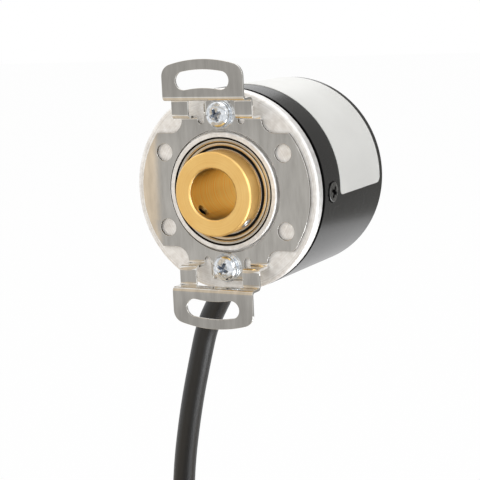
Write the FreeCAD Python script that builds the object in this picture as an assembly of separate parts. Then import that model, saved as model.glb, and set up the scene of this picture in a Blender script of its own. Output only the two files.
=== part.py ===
import FreeCAD, Part
import os
from math import asin, cos, degrees, pi, radians, sin, sqrt, tan

V = FreeCAD.Vector

# A hollow shaft rotary encoder, 40 mm across, for a 10 mm motor shaft.
# The shaft axis is Y. The motor stands on the -Y side, +Z runs towards the top ear of the
# spring bracket, and the origin is the centre of the mouth of the shaft's bore. Millimetres.

# Shaft, turned from brass, with a blind bore
bore_radius = 5.0
shaft_wall = 2.5
shaft_end_wall = 1.5
shaft_tail = 1.8            # the shaft stands out of the disc's hub by this
collar_height = 0.75        # the collar round the shaft's mouth, above the bearing seat
collar_length = 3.9
shoulder_height = 0.6       # the step that meets the front bearing's inner ring
shoulder_length = 0.3
shaft_edge = 0.3            # chamfer of the shaft's edges
set_screw_radius = 1.25
set_screw_y = 2.45
set_screw_angles = (-45, -135)
set_screw_sink = 0.1        # below the collar's surface
set_screw_tip_gap = 0.25    # from the screw's tip to the bore, before it is tightened
set_screw_clearance = 0.02
set_screw_flats = 0.65      # from the middle of its hexagon socket to a side
set_screw_socket_depth = 1.2
set_screw_edge = 0.2

# Two ball bearings alike, sealed on both sides
bearing_section = 3.0       # from a bearing's bore to its outside, in radius
bearing_width = 4.0
bearing_gap = 4.0           # between the two bearings
bearing_edge = 0.2
ball_radius = 0.8
ball_count = 14
race_clearance = 0.02
land_offset = 0.55          # from the balls' circle to the rings' lands
seat_fit = 0.01             # between the flange's bore and the outer rings
shield_step = 0.35          # the outer ring's step for the shield, beyond its land
shield_step_depth = 0.45
shield_thickness = 0.25
shield_reach = 0.05         # the shield reaches inside the balls' circle by this
seal_clearance = 0.1
cage_half_thickness = 0.3
cage_web = 0.25             # beside the balls' pockets
pocket_clearance = 0.07

# Spring washer and retaining ring behind the rear bearing
spring_washer_height = 0.5
spring_washer_thickness = 0.25
spring_washer_inset = 0.15  # inside the inner ring's land
spring_washer_clearance = 0.1
ring_thickness = 0.7
ring_height = 1.5           # above the bearing seat
ring_groove_depth = 0.35
ring_gap_angle = 60

# Mounting flange, turned from aluminium
boss_wall = 1.15            # round the front bearing
boss_lip = 0.1              # the boss stands past the bearing's face by this
boss_height = 0.65          # the boss stands past the bracket's plate by this
boss_edge = 0.2
boss_mouth = 0.15           # width of the relief round the bearing's front
boss_relief_depth = 0.5
face_groove_depth = 0.5     # in the flange's face, round the boss
tube_wall = 2.0             # round the rear bearing
tube_lip = 0.2
rim_round = 0.7
rim_length = 2.0
spigot_length = 6.15
spigot_margin = 1.92        # from the bracket screws' threads to the spigot's surface
spigot_clearance = 0.05
bearing_stop = 0.8          # height of the step between the two bearings
thread_run_out = 0.5        # a tapped hole is deeper than its screw by this

# Every pan head, in shares of its radius and height
pan_side_share = 0.35       # height of its straight side
pan_crown_reach = 0.75      # a point of its crown: reach, and share of the rise
pan_crown_rise = 0.72
recess_arm_share = 0.56
recess_width_share = 0.13
recess_depth_share = 0.55

# Bracket screws and their washers
bracket_screw_radius = 1.5
bracket_screw_length = 6.0
bracket_head_radius = 2.5
bracket_head_height = 1.8
washer_radius = 2.9
washer_thickness = 0.5
washer_gap = 0.48           # from a washer to the boss

# Spring bracket: one stamped and folded sheet of stainless steel
sheet = 0.5
ear_reach = 6.85            # from the plate forward to the ears, which rest on the motor
strip_reach = 3.65          # from the plate forward to each arm's two strips
arm_half_width = 8.75
strip_width = 3.65
bend_radius = 0.65          # to the middle of the sheet
inner_leg_inset = 0.38      # the fold from plate to strips, inside the screws' circle
plate_margin = 1.55         # from the plate's edge to the flange's rim
plate_hole_gap = 0.45       # round the boss
notch_radius = 2.6
notch_gap = 0.05
relief_width = 1.4          # the cut beside the tab under each screw
relief_depth = 1.93         # of that cut, inside the screws' circle
tab_tip = 2.62              # the tab's end, outside the screws' circle
tab_gap = 0.45              # from the tab's end to the fold behind it
tab_corner = 1.0
slot_offset = 3.95          # from that fold to the middle of the ear's slot
slot_half_width = 1.75
slot_end_margin = 3.01      # from the slot's end to the ear's side
ear_margin = 1.95           # from the slot to the ear's outer edge
ear_corner_radius = 2.4
spare_hole_radius = 1.75    # four spare holes on the screws' circle
screw_clearance = 0.1
screw_angles = (90, 270)    # two of the six places on that circle

# Rear cover, its gasket, screws and label
cover_wall = 1.5
cover_edge = 0.5
cover_lip = 0.15
rim_step = 0.05             # the flange's rim is smaller than the cover by this
gasket_thickness = 0.9
gasket_setback = 0.5
rear_room = 9.8             # behind the circuit board
cover_screw_offset = 4.65   # from the flange's rim back to the cover's screws
cover_screw_angles = (-2, 118, 238)
cover_screw_radius = 1.0
cover_screw_length = 4.0
cover_head_radius = 1.95
cover_head_height = 0.8
cover_head_clearance = 0.15
cover_recess_depth = 1.0
label_thickness = 0.1
label_front_margin = 7.15
label_back_margin = 2.2
label_start_angle = -5.0
label_end_angle = 185.0
label_corner_radius = 1.2

# Code disc on its hub
hub_gap = 0.3               # behind the retaining ring
hub_wall = 1.0
hub_length = 3.4
hub_flange_thickness = 1.3
disc_thickness = 0.2
disc_screw_offset = 0.95    # from the hub's sleeve to the disc's screws
disc_screw_radius = 0.5
disc_screw_margin = 1.05    # from those screws to the hub flange's edge
disc_head_radius = 0.8
disc_head_height = 0.6
disc_screw_count = 3
disc_screw_angle = 30       # of the first screw
clamp_ring_setback = 0.1
clamp_ring_thickness = 0.8
track_offset = 0.9          # from the hub's flange to the ring of windows
track_width = 1.6
track_margin = 0.4
track_windows = 48
running_gap = 0.4           # from the disc to the parts beside it

# Light source, mask, sensor and circuit board
holder_half_width = 3.5
holder_margin = 1.5         # from the light holder to the cover
holder_gap = 0.2            # from the holder's arm to the bearing tube under it
holder_wall = 0.4
led_radius = 1.1
led_length = 1.4
lens_height = 0.4
mask_half_width = 3.0
mask_thickness = 0.2
mask_margin = 0.2
sensor_half_width = 4.0
sensor_inner_reach = 1.6    # the sensor holder's sides, from the middle of the windows
sensor_outer_reach = 3.0
sensor_wall = 0.8
sensor_pocket_depth = 1.6
sensor_chip = 2.0           # half length; half as wide
sensor_chip_thickness = 0.6
board_margin = 1.1          # from the board to the cover
board_thickness = 1.6
board_gap = 1.5             # from the shaft's end to the board
standoff_margin = 1.6       # from the board's edge to a standoff's middle
standoff_angles = (60, 180, 300)
standoff_flats = 1.6
standoff_stud_radius = 1.0
standoff_stud_length = 2.5
board_screw_length = 3.2
board_head_radius = 1.8
board_head_height = 1.1
socket_half_width = 4.0
socket_near_z = -3.0
socket_far_z = 1.2
socket_height = 3.0
socket_wall = 0.6
socket_floor = 1.0

# On the back of the board: places in shares of its radius
chip_height = 1.5
line_driver_place = (0.0, 0.42)
line_driver_length = 6.0
line_driver_width = 4.5
counter_place = (0.40, 0.06)
counter_length = 4.0
counter_width = 5.0
regulator_place = (-0.50, 0.34)
regulator_length = 3.5
regulator_width = 4.0
chip_capacitor_places = ((-0.58, -0.02), (0.06, 0.69))
chip_capacitor_length = 2.0
chip_capacitor_width = 1.2
large_can_place = (0.52, 0.48)
large_can_radius = 2.0
large_can_height = 5.4
small_can_place = (0.26, -0.50)
small_can_radius = 1.5
small_can_height = 4.0

# Cable, 2 m of 5 mm sheathed cable
cable_radius = 2.5
cable_angle = 240           # where it leaves the cover, round the shaft axis
cable_offset = 3.4          # from the board back to the cable's middle
cable_clearance = 0.05
cable_tube_inset = 1.5      # the tube starts this far inside the cover's wall
cable_inner_length = 4.5    # and the cable's inner end reaches this much further in
grommet_hole_radius = 3.5
grommet_base_radius = 4.2
grommet_tip_radius = 3.2
grommet_collar_radius = 4.6
grommet_collar_depth = 1.0
grommet_fit = 0.02
grommet_length = 6.0        # of its nozzle outside the cover
ferrule_thickness = 0.6
ferrule_length = 3.0
ferrule_inset = 0.5
first_bend_reach = 35.0     # the cable runs straight out of the grommet to here
route = [                   # then x, z in the plane of the cable, down to the coil
    (-23.6, -47.5),
    (-27.2, -68.0),
    (-27.8, -84.0),
    (-23.3, -95.7),
    (-14.6, -104.7),
    (-3.1, -109.6),
    (8.0, -109.6),
]
bend_share = 0.45           # of the shorter run beside a bend, taken by its arc
coil_inner_radius = 17.5
coil_outer_radius = 37.5
coil_layers = 3
coil_corner = 2.2
coil_lead_radius = 31.0     # where the leads lie on the coil
tie_thickness = 0.8
tie_width = 5.0
tie_clearance = 0.2
tie_angle = 320
end_angle = 180             # where the cable's free end leaves the top turn of the coil
end_length = 14.0
lead_radius = 0.6
lead_circle = 1.5
lead_count = 5
lead_straight = 5.0
lead_knee_angle = 137       # round the coil, as the free end
lead_end_angle = 114
lead_spread = 1.9
lead_rest_gap = 0.1
lead_strip = 4.0
lead_core_radius = 0.4
wire_radius = 0.5
wire_spacing = 1.25
wire_pinch = 0.75           # the wires lie closer together at the cable's end
wire_clearance = 0.1

# Sizes that follow, from the shaft outwards
seat_radius = bore_radius + shaft_wall
collar_radius = seat_radius + collar_height
shoulder_radius = seat_radius + shoulder_height
bearing_outer_radius = seat_radius + bearing_section
pitch_radius = seat_radius + bearing_section / 2
inner_land_radius = pitch_radius - land_offset
outer_land_radius = pitch_radius + land_offset
shield_step_radius = outer_land_radius + shield_step
shield_inner_radius = pitch_radius - shield_reach
housing_bore_radius = bearing_outer_radius + seat_fit
boss_radius = bearing_outer_radius + boss_wall
tube_radius = bearing_outer_radius + tube_wall
pattern_radius = boss_radius + washer_gap + washer_radius
spigot_radius = pattern_radius + bracket_screw_radius + spigot_margin
cover_inner_radius = spigot_radius + spigot_clearance
cover_radius = cover_inner_radius + cover_wall
rim_radius = cover_radius - rim_step
plate_radius = rim_radius - plate_margin
hub_sleeve_radius = seat_radius + hub_wall
disc_screw_circle = hub_sleeve_radius + disc_screw_offset
hub_flange_radius = disc_screw_circle + disc_screw_margin
clamp_ring_radius = hub_flange_radius - clamp_ring_setback
track_inner_radius = hub_flange_radius + track_offset
track_outer_radius = track_inner_radius + track_width
track_middle_radius = (track_inner_radius + track_outer_radius) / 2
disc_radius = track_outer_radius + track_margin
board_radius = cover_inner_radius - board_margin
standoff_circle = board_radius - standoff_margin
coil_middle_radius = (coil_inner_radius + coil_outer_radius) / 2

# Places along the shaft axis that follow, from the collar's face backwards
bearing_front_y = collar_length + shoulder_length
front_bearing_back_y = bearing_front_y + bearing_width
rear_bearing_y = front_bearing_back_y + bearing_gap
rear_bearing_back_y = rear_bearing_y + bearing_width
boss_front_y = bearing_front_y - boss_lip
plate_front_y = boss_front_y + boss_height
plate_back_y = plate_front_y + sheet
ear_front_y = plate_front_y - ear_reach
strip_front_y = plate_front_y - strip_reach
rim_back_y = plate_back_y + rim_length
spigot_back_y = rim_back_y + spigot_length
tube_back_y = rear_bearing_back_y + tube_lip
ring_front_y = rear_bearing_back_y + spring_washer_height
ring_back_y = ring_front_y + ring_thickness
hub_front_y = ring_back_y + hub_gap
hub_back_y = hub_front_y + hub_length
disc_front_y = hub_front_y + hub_flange_thickness
disc_back_y = disc_front_y + disc_thickness
shaft_end_y = hub_back_y + shaft_tail
bore_depth = shaft_end_y - shaft_end_wall
board_front_y = shaft_end_y + board_gap
board_back_y = board_front_y + board_thickness
cable_y = board_back_y + cable_offset
cover_front_y = rim_back_y + gasket_thickness
cover_inner_back_y = board_back_y + rear_room
cover_back_y = cover_inner_back_y + cover_wall
cover_screw_y = rim_back_y + cover_screw_offset
bracket_seat_y = plate_front_y - washer_thickness

# The bracket's places out from the shaft axis, along Z
tab_end_z = pattern_radius + tab_tip
relief_end_z = pattern_radius - relief_depth
inner_leg_z = pattern_radius - inner_leg_inset
outer_leg_z = tab_end_z + tab_gap + sheet / 2
lobe_half_height = inner_leg_z - bend_radius - notch_radius - notch_gap
window_half_width = arm_half_width - strip_width
tab_half_width = window_half_width - relief_width
slot_mid_radius = outer_leg_z + slot_offset
slot_half_angle = degrees(asin((arm_half_width - slot_end_margin - slot_half_width) / slot_mid_radius))
ear_radius = slot_mid_radius + slot_half_width + ear_margin

parts = {}


def turned(*profile):
    """A solid of revolution about the shaft axis; profile points are (radius, y)."""
    points = [V(r, y, 0) for r, y in profile]
    face = Part.Face(Part.makePolygon(points + points[:1]))
    return face.revolve(V(0, 0, 0), V(0, 1, 0), 360)


def tube(inner, outer, y0, y1):
    return turned((inner, y0), (outer, y0), (outer, y1), (inner, y1))


def rod(radius, y0, y1, x=0.0, z=0.0):
    return Part.makeCylinder(radius, y1 - y0, V(x, y0, z), V(0, 1, 0))


def block(x0, x1, y0, y1, z0, z1):
    return Part.makeBox(x1 - x0, y1 - y0, z1 - z0, V(x0, y0, z0))


def polar(radius, angle, y=0.0):
    """A point at an angle round the shaft axis, from +X towards +Z."""
    return V(radius * cos(radians(angle)), y, radius * sin(radians(angle)))


def sector(radius, y0, y1, a0, a1):
    """A slice of a cylinder about the shaft axis, from one angle to another."""
    wedge = Part.makeCylinder(radius, y1 - y0, V(0, 0, 0), V(0, 0, 1), a1 - a0)
    turn = FreeCAD.Rotation(V(1, 0, 0), 90).multiply(FreeCAD.Rotation(V(0, 0, 1), a0))
    wedge.Placement = FreeCAD.Placement(V(0, y1, 0), turn)
    return wedge


def radial_rod(radius, r0, r1, angle, y):
    return Part.makeCylinder(radius, r1 - r0, polar(r0, angle, y), polar(1, angle))


def placed(shape, position, direction):
    """Moves a shape made along +Z at the origin."""
    moved = shape.copy()
    moved.Placement = FreeCAD.Placement(position, FreeCAD.Rotation(V(0, 0, 1), direction))
    return moved


def prism(flats, height, sides=6):
    """A prism along +Z; flats is the distance from its middle to a side."""
    corner = flats / cos(pi / sides)
    angles = [2 * pi * i / sides for i in range(sides + 1)]
    points = [V(corner * cos(angle), corner * sin(angle), 0) for angle in angles]
    return Part.Face(Part.makePolygon(points)).extrude(V(0, 0, height))


def fused(shapes):
    return shapes[0].multiFuse(shapes[1:]).removeSplitter()


def group(shapes):
    return Part.makeCompound(shapes)


def edges_along_y(shape, x, z):
    """The edges parallel to the shaft axis that stand over one place."""
    found = []
    for edge in shape.Edges:
        ends = [vertex.Point for vertex in edge.Vertexes]
        if len(ends) == 2 and all(abs(p.x - x) < 0.01 and abs(p.z - z) < 0.01 for p in ends):
            found.append(edge)
    return found


def circles_at(shape, radius, y):
    """The edges that run round the shaft axis at one radius and place."""
    found = []
    for edge in shape.Edges:
        box = edge.BoundBox
        if box.YLength < 0.01 and abs(box.YMax - y) < 0.01 and abs(box.XMax - radius) < 0.01:
            found.append(edge)
    return found


def pan_screw(radius, length, head_radius, head_height):
    """A pan head screw with a cross recess, its head's seat at the origin and its head towards +Z."""
    foot, side = V(head_radius, 0, 0), V(head_radius, 0, head_height * pan_side_share)
    rise = head_height - side.z
    crown = V(head_radius * pan_crown_reach, 0, side.z + rise * pan_crown_rise)
    top = V(0, 0, head_height)
    lines = [Part.LineSegment(V(0, 0, 0), foot), Part.LineSegment(foot, side), Part.Arc(side, crown, top)]
    lines.append(Part.LineSegment(top, V(0, 0, 0)))
    head = Part.Face(Part.Wire([line.toShape() for line in lines])).revolve(V(0, 0, 0), V(0, 0, 1), 360)
    arm, thick = head_radius * recess_arm_share, head_radius * recess_width_share
    deep = head_height * recess_depth_share
    for reach_x, reach_y in ((arm, thick), (thick, arm)):
        corner = V(-reach_x, -reach_y, head_height - deep)
        head = head.cut(Part.makeBox(2 * reach_x, 2 * reach_y, 2 * deep, corner))
    return head.fuse(Part.makeCylinder(radius, length, V(0, 0, -length)))


def rounded_path(points):
    """Straight runs joined by tangent arcs, each as large as its two runs allow."""
    edges, start = [], points[0]
    for before, corner, after in zip(points, points[1:], points[2:]):
        to_corner, away = corner - before, after - corner
        half_turn = to_corner.getAngle(away) / 2
        setback = bend_share * min(to_corner.Length, away.Length)
        u, w = V(to_corner).normalize(), V(away).normalize()
        first, last = corner - u * setback, corner + w * setback
        radius = setback / tan(half_turn)
        middle_direction = (w - u).normalize()
        centre = corner + middle_direction * (radius / cos(half_turn))
        middle = centre - middle_direction * radius
        edges += [Part.LineSegment(start, first).toShape(), Part.Arc(first, middle, last).toShape()]
        start = last
        print("   bend radius %.1f mm" % radius)
    edges.append(Part.LineSegment(start, points[-1]).toShape())
    return Part.Wire(edges)


def cord(points, radius):
    path = rounded_path(points)
    ring = Part.Wire(Part.makeCircle(radius, points[0], points[1] - points[0]))
    solid = path.makePipeShell([ring], True, False)
    share = solid.Volume / (pi * radius ** 2 * path.Length)
    print("   cord %.1f mm long, volume share %.4f" % (path.Length, share))
    return solid


def bent_band(path, x0, x1):
    """A band of the sheet folded square at each point of a (y, z) path, between two X planes."""
    corners = [V(0, y, z) for y, z in path]
    sides = []
    for side in (sheet / 2, -sheet / 2):
        edges, start = [], None
        for i, corner in enumerate(corners):
            u = (corner - corners[i - 1]).normalize() if i else None
            w = (corners[i + 1] - corner).normalize() if i + 1 < len(corners) else None
            left = V(0, -(w or u).z, (w or u).y)
            if not i:
                start = corner + left * side
                continue
            before = V(0, -u.z, u.y)
            if w is None:
                if (corner + before * side - start).Length > 0.001:
                    edges.append(Part.LineSegment(start, corner + before * side))
                start = corner + before * side
                continue
            centre = corner - u * bend_radius + w * bend_radius
            turn_left = (w - before).Length < 0.001
            reach = bend_radius - side if turn_left else bend_radius + side
            out = (u - w).normalize()
            first, last = centre - w * reach, centre + u * reach
            edges.append(Part.LineSegment(start, first))
            edges.append(Part.Arc(first, centre + out * reach, last))
            start = last
        sides.append((edges, start))
    (left_edges, left_end), (right_edges, right_end) = sides
    starts = [edges[0].StartPoint for edges in (left_edges, right_edges)]
    ends = [Part.LineSegment(left_end, right_end), Part.LineSegment(*starts)]
    wire = Part.Wire(Part.__sortEdges__([e.toShape() for e in left_edges + right_edges + ends]))
    band = Part.Face(wire).extrude(V(x1 - x0, 0, 0))
    band.translate(V(x0, 0, 0))
    return band


def bracket_arm():
    """The top arm: two strips that step forward from the plate, then the ear across both."""
    plate_y, strip_y, ear_y = (y + sheet / 2 for y in (plate_front_y, strip_front_y, ear_front_y))
    fold_y = strip_y - bend_radius
    strip_path = [(plate_y, relief_end_z), (plate_y, inner_leg_z), (strip_y, inner_leg_z)]
    strip_path += [(strip_y, outer_leg_z), (fold_y, outer_leg_z)]
    ear_root_z = outer_leg_z + bend_radius + sheet
    ear_path = [(fold_y, outer_leg_z), (ear_y, outer_leg_z), (ear_y, ear_root_z)]
    corner_z = sqrt(ear_radius ** 2 - arm_half_width ** 2)
    outline = [
        Part.LineSegment(V(-arm_half_width, 0, ear_root_z), V(-arm_half_width, 0, corner_z)),
        Part.Arc(V(-arm_half_width, 0, corner_z), V(0, 0, ear_radius), V(arm_half_width, 0, corner_z)),
        Part.LineSegment(V(arm_half_width, 0, corner_z), V(arm_half_width, 0, ear_root_z)),
        Part.LineSegment(V(arm_half_width, 0, ear_root_z), V(-arm_half_width, 0, ear_root_z)),
    ]
    ear = Part.Face(Part.Wire([line.toShape() for line in outline])).extrude(V(0, sheet, 0))
    corners = edges_along_y(ear, -arm_half_width, corner_z) + edges_along_y(ear, arm_half_width, corner_z)
    ear = ear.makeFillet(ear_corner_radius, corners)
    ear.translate(V(0, ear_front_y, 0))
    pieces = [
        bent_band(strip_path, window_half_width, arm_half_width),
        bent_band(strip_path, -arm_half_width, -window_half_width),
        bent_band(ear_path, -arm_half_width, arm_half_width),
        ear,
    ]
    return fused(pieces).cut(arc_slot())


def arc_slot():
    """The slot of the top ear, an arc about the shaft axis with round ends."""
    y0, y1 = ear_front_y - sheet, ear_front_y + 2 * sheet
    angles = (90 - slot_half_angle, 90 + slot_half_angle)
    outer, inner = slot_mid_radius + slot_half_width, slot_mid_radius - slot_half_width
    band = sector(outer, y0, y1, *angles).cut(rod(inner, y0, y1))
    middles = [polar(slot_mid_radius, angle) for angle in angles]
    return fused([band] + [rod(slot_half_width, y0, y1, p.x, p.z) for p in middles])


def bracket_plate():
    """The flat middle of the bracket, with its notches, screw tabs, relief cuts and holes."""
    y0, y1 = plate_front_y, plate_back_y
    root_z = inner_leg_z - bend_radius
    lobes = rod(plate_radius, y0, y1)
    lobes = lobes.common(block(-plate_radius, plate_radius, y0, y1, -lobe_half_height, lobe_half_height))
    plate = fused([lobes, block(-arm_half_width, arm_half_width, y0, y1, -root_z, root_z)])
    notches = []
    for x in (-arm_half_width, arm_half_width):
        notches += edges_along_y(plate, x, -lobe_half_height) + edges_along_y(plate, x, lobe_half_height)
    plate = plate.makeFillet(notch_radius, notches)
    tab = block(-tab_half_width, tab_half_width, y0, y1, -tab_end_z, tab_end_z)
    corners = []
    for x in (-tab_half_width, tab_half_width):
        corners += edges_along_y(tab, x, -tab_end_z) + edges_along_y(tab, x, tab_end_z)
    plate = fused([plate, tab.makeFillet(tab_corner, corners)])
    relief = relief_width / 2
    for x in (-tab_half_width - relief, tab_half_width + relief):
        for side in (-1, 1):
            z, far = side * (relief_end_z + relief), side * pattern_radius
            cut = block(x - relief, x + relief, y0, y1, min(z, far), max(z, far))
            plate = plate.cut(rod(relief, y0, y1, x, z)).cut(cut)
    plate = plate.cut(rod(boss_radius + plate_hole_gap, y0, y1))
    for angle in range(30, 390, 60):
        middle = polar(pattern_radius, angle)
        radius = bracket_screw_radius + screw_clearance if angle in screw_angles else spare_hole_radius
        plate = plate.cut(rod(radius, y0, y1, middle.x, middle.z))
    return plate


def leaf_bracket():
    arm = bracket_arm()
    lower = arm.copy()
    lower.rotate(V(0, 0, 0), V(0, 1, 0), 180)
    return fused([bracket_plate(), arm, lower])


def mounting_flange():
    """Front housing: boss, face, rim, the spigot inside the cover and the tube for both bearings."""
    bore, land = housing_bore_radius, bearing_outer_radius - bearing_stop
    relief_y, groove_y = boss_front_y + boss_relief_depth, plate_back_y + face_groove_depth
    groove = boss_radius + plate_hole_gap
    flange = turned(
        (bore, relief_y), (bore + boss_mouth, relief_y), (bore + boss_mouth, boss_front_y),
        (boss_radius - boss_edge, boss_front_y), (boss_radius, boss_front_y + boss_edge),
        (boss_radius, groove_y), (groove, groove_y), (groove, plate_back_y),
        (rim_radius, plate_back_y), (rim_radius, rim_back_y),
        (spigot_radius, rim_back_y), (spigot_radius, spigot_back_y), (tube_radius, spigot_back_y),
        (tube_radius, tube_back_y), (bore, tube_back_y), (bore, rear_bearing_y),
        (land, rear_bearing_y), (land, front_bearing_back_y), (bore, front_bearing_back_y),
    )
    flange = flange.makeFillet(rim_round, circles_at(flange, rim_radius, plate_back_y))
    thread_end = bracket_seat_y + bracket_screw_length + thread_run_out
    for angle in screw_angles:
        middle = polar(pattern_radius, angle)
        flange = flange.cut(rod(bracket_screw_radius, plate_back_y, thread_end, middle.x, middle.z))
    thread_start = cover_radius - cover_recess_depth - cover_screw_length - thread_run_out
    for angle in cover_screw_angles:
        flange = flange.cut(radial_rod(cover_screw_radius, thread_start, spigot_radius, angle, cover_screw_y))
    for angle in standoff_angles:
        middle = polar(standoff_circle, angle)
        stud_y = spigot_back_y - standoff_stud_length
        flange = flange.cut(rod(standoff_stud_radius, stud_y, spigot_back_y, middle.x, middle.z))
    return flange


def bearing(name, front_y):
    """One sealed ball bearing: two grooved rings, balls in a pocketed cage, shields and seals."""
    back_y, middle_y = front_y + bearing_width, front_y + bearing_width / 2
    groove = Part.makeTorus(pitch_radius, ball_radius + race_clearance, V(0, middle_y, 0), V(0, 1, 0))
    edge = bearing_edge
    outside, step, land = bearing_outer_radius, shield_step_radius, outer_land_radius
    outer = turned(
        (step, front_y), (outside - edge, front_y), (outside, front_y + edge),
        (outside, back_y - edge), (outside - edge, back_y), (step, back_y),
        (step, back_y - shield_step_depth), (land, back_y - shield_step_depth),
        (land, front_y + shield_step_depth), (step, front_y + shield_step_depth),
    )
    parts[name + "_outer_ring"] = outer.cut(groove)
    parts[name + "_inner_ring"] = tube(seat_radius, inner_land_radius, front_y, back_y).cut(groove)
    angles = [360 * i / ball_count for i in range(ball_count)]
    middles = [polar(pitch_radius, angle, middle_y) for angle in angles]
    parts[name + "_balls"] = group([Part.makeSphere(ball_radius, middle) for middle in middles])
    half_width, pocket_radius = ball_radius + cage_web, ball_radius + pocket_clearance
    cage = tube(pitch_radius - cage_half_thickness, pitch_radius + cage_half_thickness,
                middle_y - half_width, middle_y + half_width)
    for angle in angles:
        cage = cage.cut(radial_rod(pocket_radius, inner_land_radius, outer_land_radius, angle, middle_y))
    parts[name + "_cage"] = cage
    shields, seals = [], []
    for y in (front_y + shield_step_depth - shield_thickness, back_y - shield_step_depth):
        shields.append(tube(shield_inner_radius, shield_step_radius, y, y + shield_thickness))
        seals.append(tube(inner_land_radius + seal_clearance, shield_inner_radius, y, y + shield_thickness))
    parts[name + "_shields"] = group(shields)
    parts[name + "_seals"] = group(seals)


def hollow_shaft():
    """Brass shaft: collar for the set screws, bearing seat, ring groove and the blind bore."""
    seat, edge, groove = seat_radius, shaft_edge, seat_radius - ring_groove_depth
    shaft = turned(
        (bore_radius + edge, 0), (collar_radius - edge, 0), (collar_radius, edge),
        (collar_radius, collar_length), (shoulder_radius, collar_length),
        (shoulder_radius, bearing_front_y), (seat, bearing_front_y),
        (seat, ring_front_y), (groove, ring_front_y), (groove, ring_back_y), (seat, ring_back_y),
        (seat, shaft_end_y - edge), (seat - edge, shaft_end_y), (0, shaft_end_y), (0, bore_depth),
        (bore_radius, bore_depth), (bore_radius, edge),
    )
    radius = set_screw_radius + set_screw_clearance
    for angle in set_screw_angles:
        shaft = shaft.cut(radial_rod(radius, bore_radius / 2, collar_radius + shaft_edge, angle, set_screw_y))
    return shaft


def set_screw(angle):
    top = collar_radius - set_screw_sink
    length = top - bore_radius - set_screw_tip_gap
    screw = Part.makeCylinder(set_screw_radius, length, V(0, 0, -length))
    screw = screw.makeChamfer(set_screw_edge, [e for e in screw.Edges if e.BoundBox.ZLength < 0.01])
    socket = prism(set_screw_flats, 2 * set_screw_socket_depth).translated(V(0, 0, -set_screw_socket_depth))
    return placed(screw.cut(socket), polar(top, angle, set_screw_y), polar(1, angle))


def spring_washer():
    """A cone washer that loads the rear bearing's inner ring."""
    y0, y1, thickness = rear_bearing_back_y, ring_front_y, spring_washer_thickness
    inner, outer = seat_radius + spring_washer_clearance, inner_land_radius - spring_washer_inset
    return turned((inner, y1 - thickness), (outer, y0), (outer, y0 + thickness), (inner, y1))


def retaining_ring():
    half = ring_gap_angle / 2
    ring = tube(seat_radius - ring_groove_depth, seat_radius + ring_height, ring_front_y, ring_back_y)
    return ring.cut(sector(2 * seat_radius, ring_front_y, ring_back_y, 90 - half, 90 + half))


def disc_assembly():
    """Hub, code disc, clamp ring and their screws, all on the rear end of the shaft."""
    clamp_back_y = disc_back_y + clamp_ring_thickness
    hub = turned(
        (seat_radius, hub_front_y), (hub_flange_radius, hub_front_y), (hub_flange_radius, disc_front_y),
        (hub_sleeve_radius, disc_front_y), (hub_sleeve_radius, hub_back_y), (seat_radius, hub_back_y),
    )
    disc = tube(hub_sleeve_radius, disc_radius, disc_front_y, disc_back_y)
    ring = tube(hub_sleeve_radius, clamp_ring_radius, disc_back_y, clamp_back_y)
    screw = pan_screw(disc_screw_radius, clamp_back_y - hub_front_y, disc_head_radius, disc_head_height)
    screws = []
    for i in range(disc_screw_count):
        middle = polar(disc_screw_circle, 360 * i / disc_screw_count + disc_screw_angle)
        hole = rod(disc_screw_radius, hub_front_y, clamp_back_y, middle.x, middle.z)
        hub, disc, ring = hub.cut(hole), disc.cut(hole), ring.cut(hole)
        screws.append(placed(screw, V(middle.x, clamp_back_y, middle.z), V(0, 1, 0)))
    parts["disc_hub"] = hub
    parts["code_disc"] = disc.cut(group([track_window(i) for i in range(track_windows)]))
    parts["disc_clamp_ring"] = ring
    parts["disc_screws"] = group(screws)


def track_window(i):
    """One window of the code disc's ring; windows and bars are equally wide."""
    pitch = 360 / track_windows
    a0, a1 = (i - 0.25) * pitch, (i + 0.25) * pitch
    inner, outer = track_inner_radius, track_outer_radius
    places = ((inner, a0), (outer, a0), (outer, a1), (inner, a1))
    corners = [polar(radius, angle, disc_front_y) for radius, angle in places]
    return Part.Face(Part.makePolygon(corners + corners[:1])).extrude(V(0, disc_thickness, 0))


def light_source():
    """The light source in its holder on the flange, shining through the disc's ring of windows."""
    tip_y = disc_front_y - running_gap
    lens_y = tip_y - lens_height
    led_y = lens_y - led_length
    half, z = holder_half_width, track_middle_radius
    inner_z, outer_z = z - led_radius - holder_wall, cover_inner_radius - holder_margin
    arm_y, foot_z = tube_back_y + holder_gap, tube_radius + holder_gap
    holder = block(-half, half, spigot_back_y, lens_y, inner_z, outer_z)
    holder = holder.cut(block(-half, half, spigot_back_y, arm_y, inner_z, foot_z))
    parts["led_holder"] = holder.cut(rod(led_radius, led_y, lens_y, 0, z))
    parts["led"] = rod(led_radius, led_y, lens_y, 0, z)
    dome_radius = (led_radius ** 2 + lens_height ** 2) / (2 * lens_height)
    dome = Part.makeSphere(dome_radius, V(0, tip_y - dome_radius, z))
    parts["led_lens"] = dome.common(rod(led_radius, lens_y, tip_y, 0, z))


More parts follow.
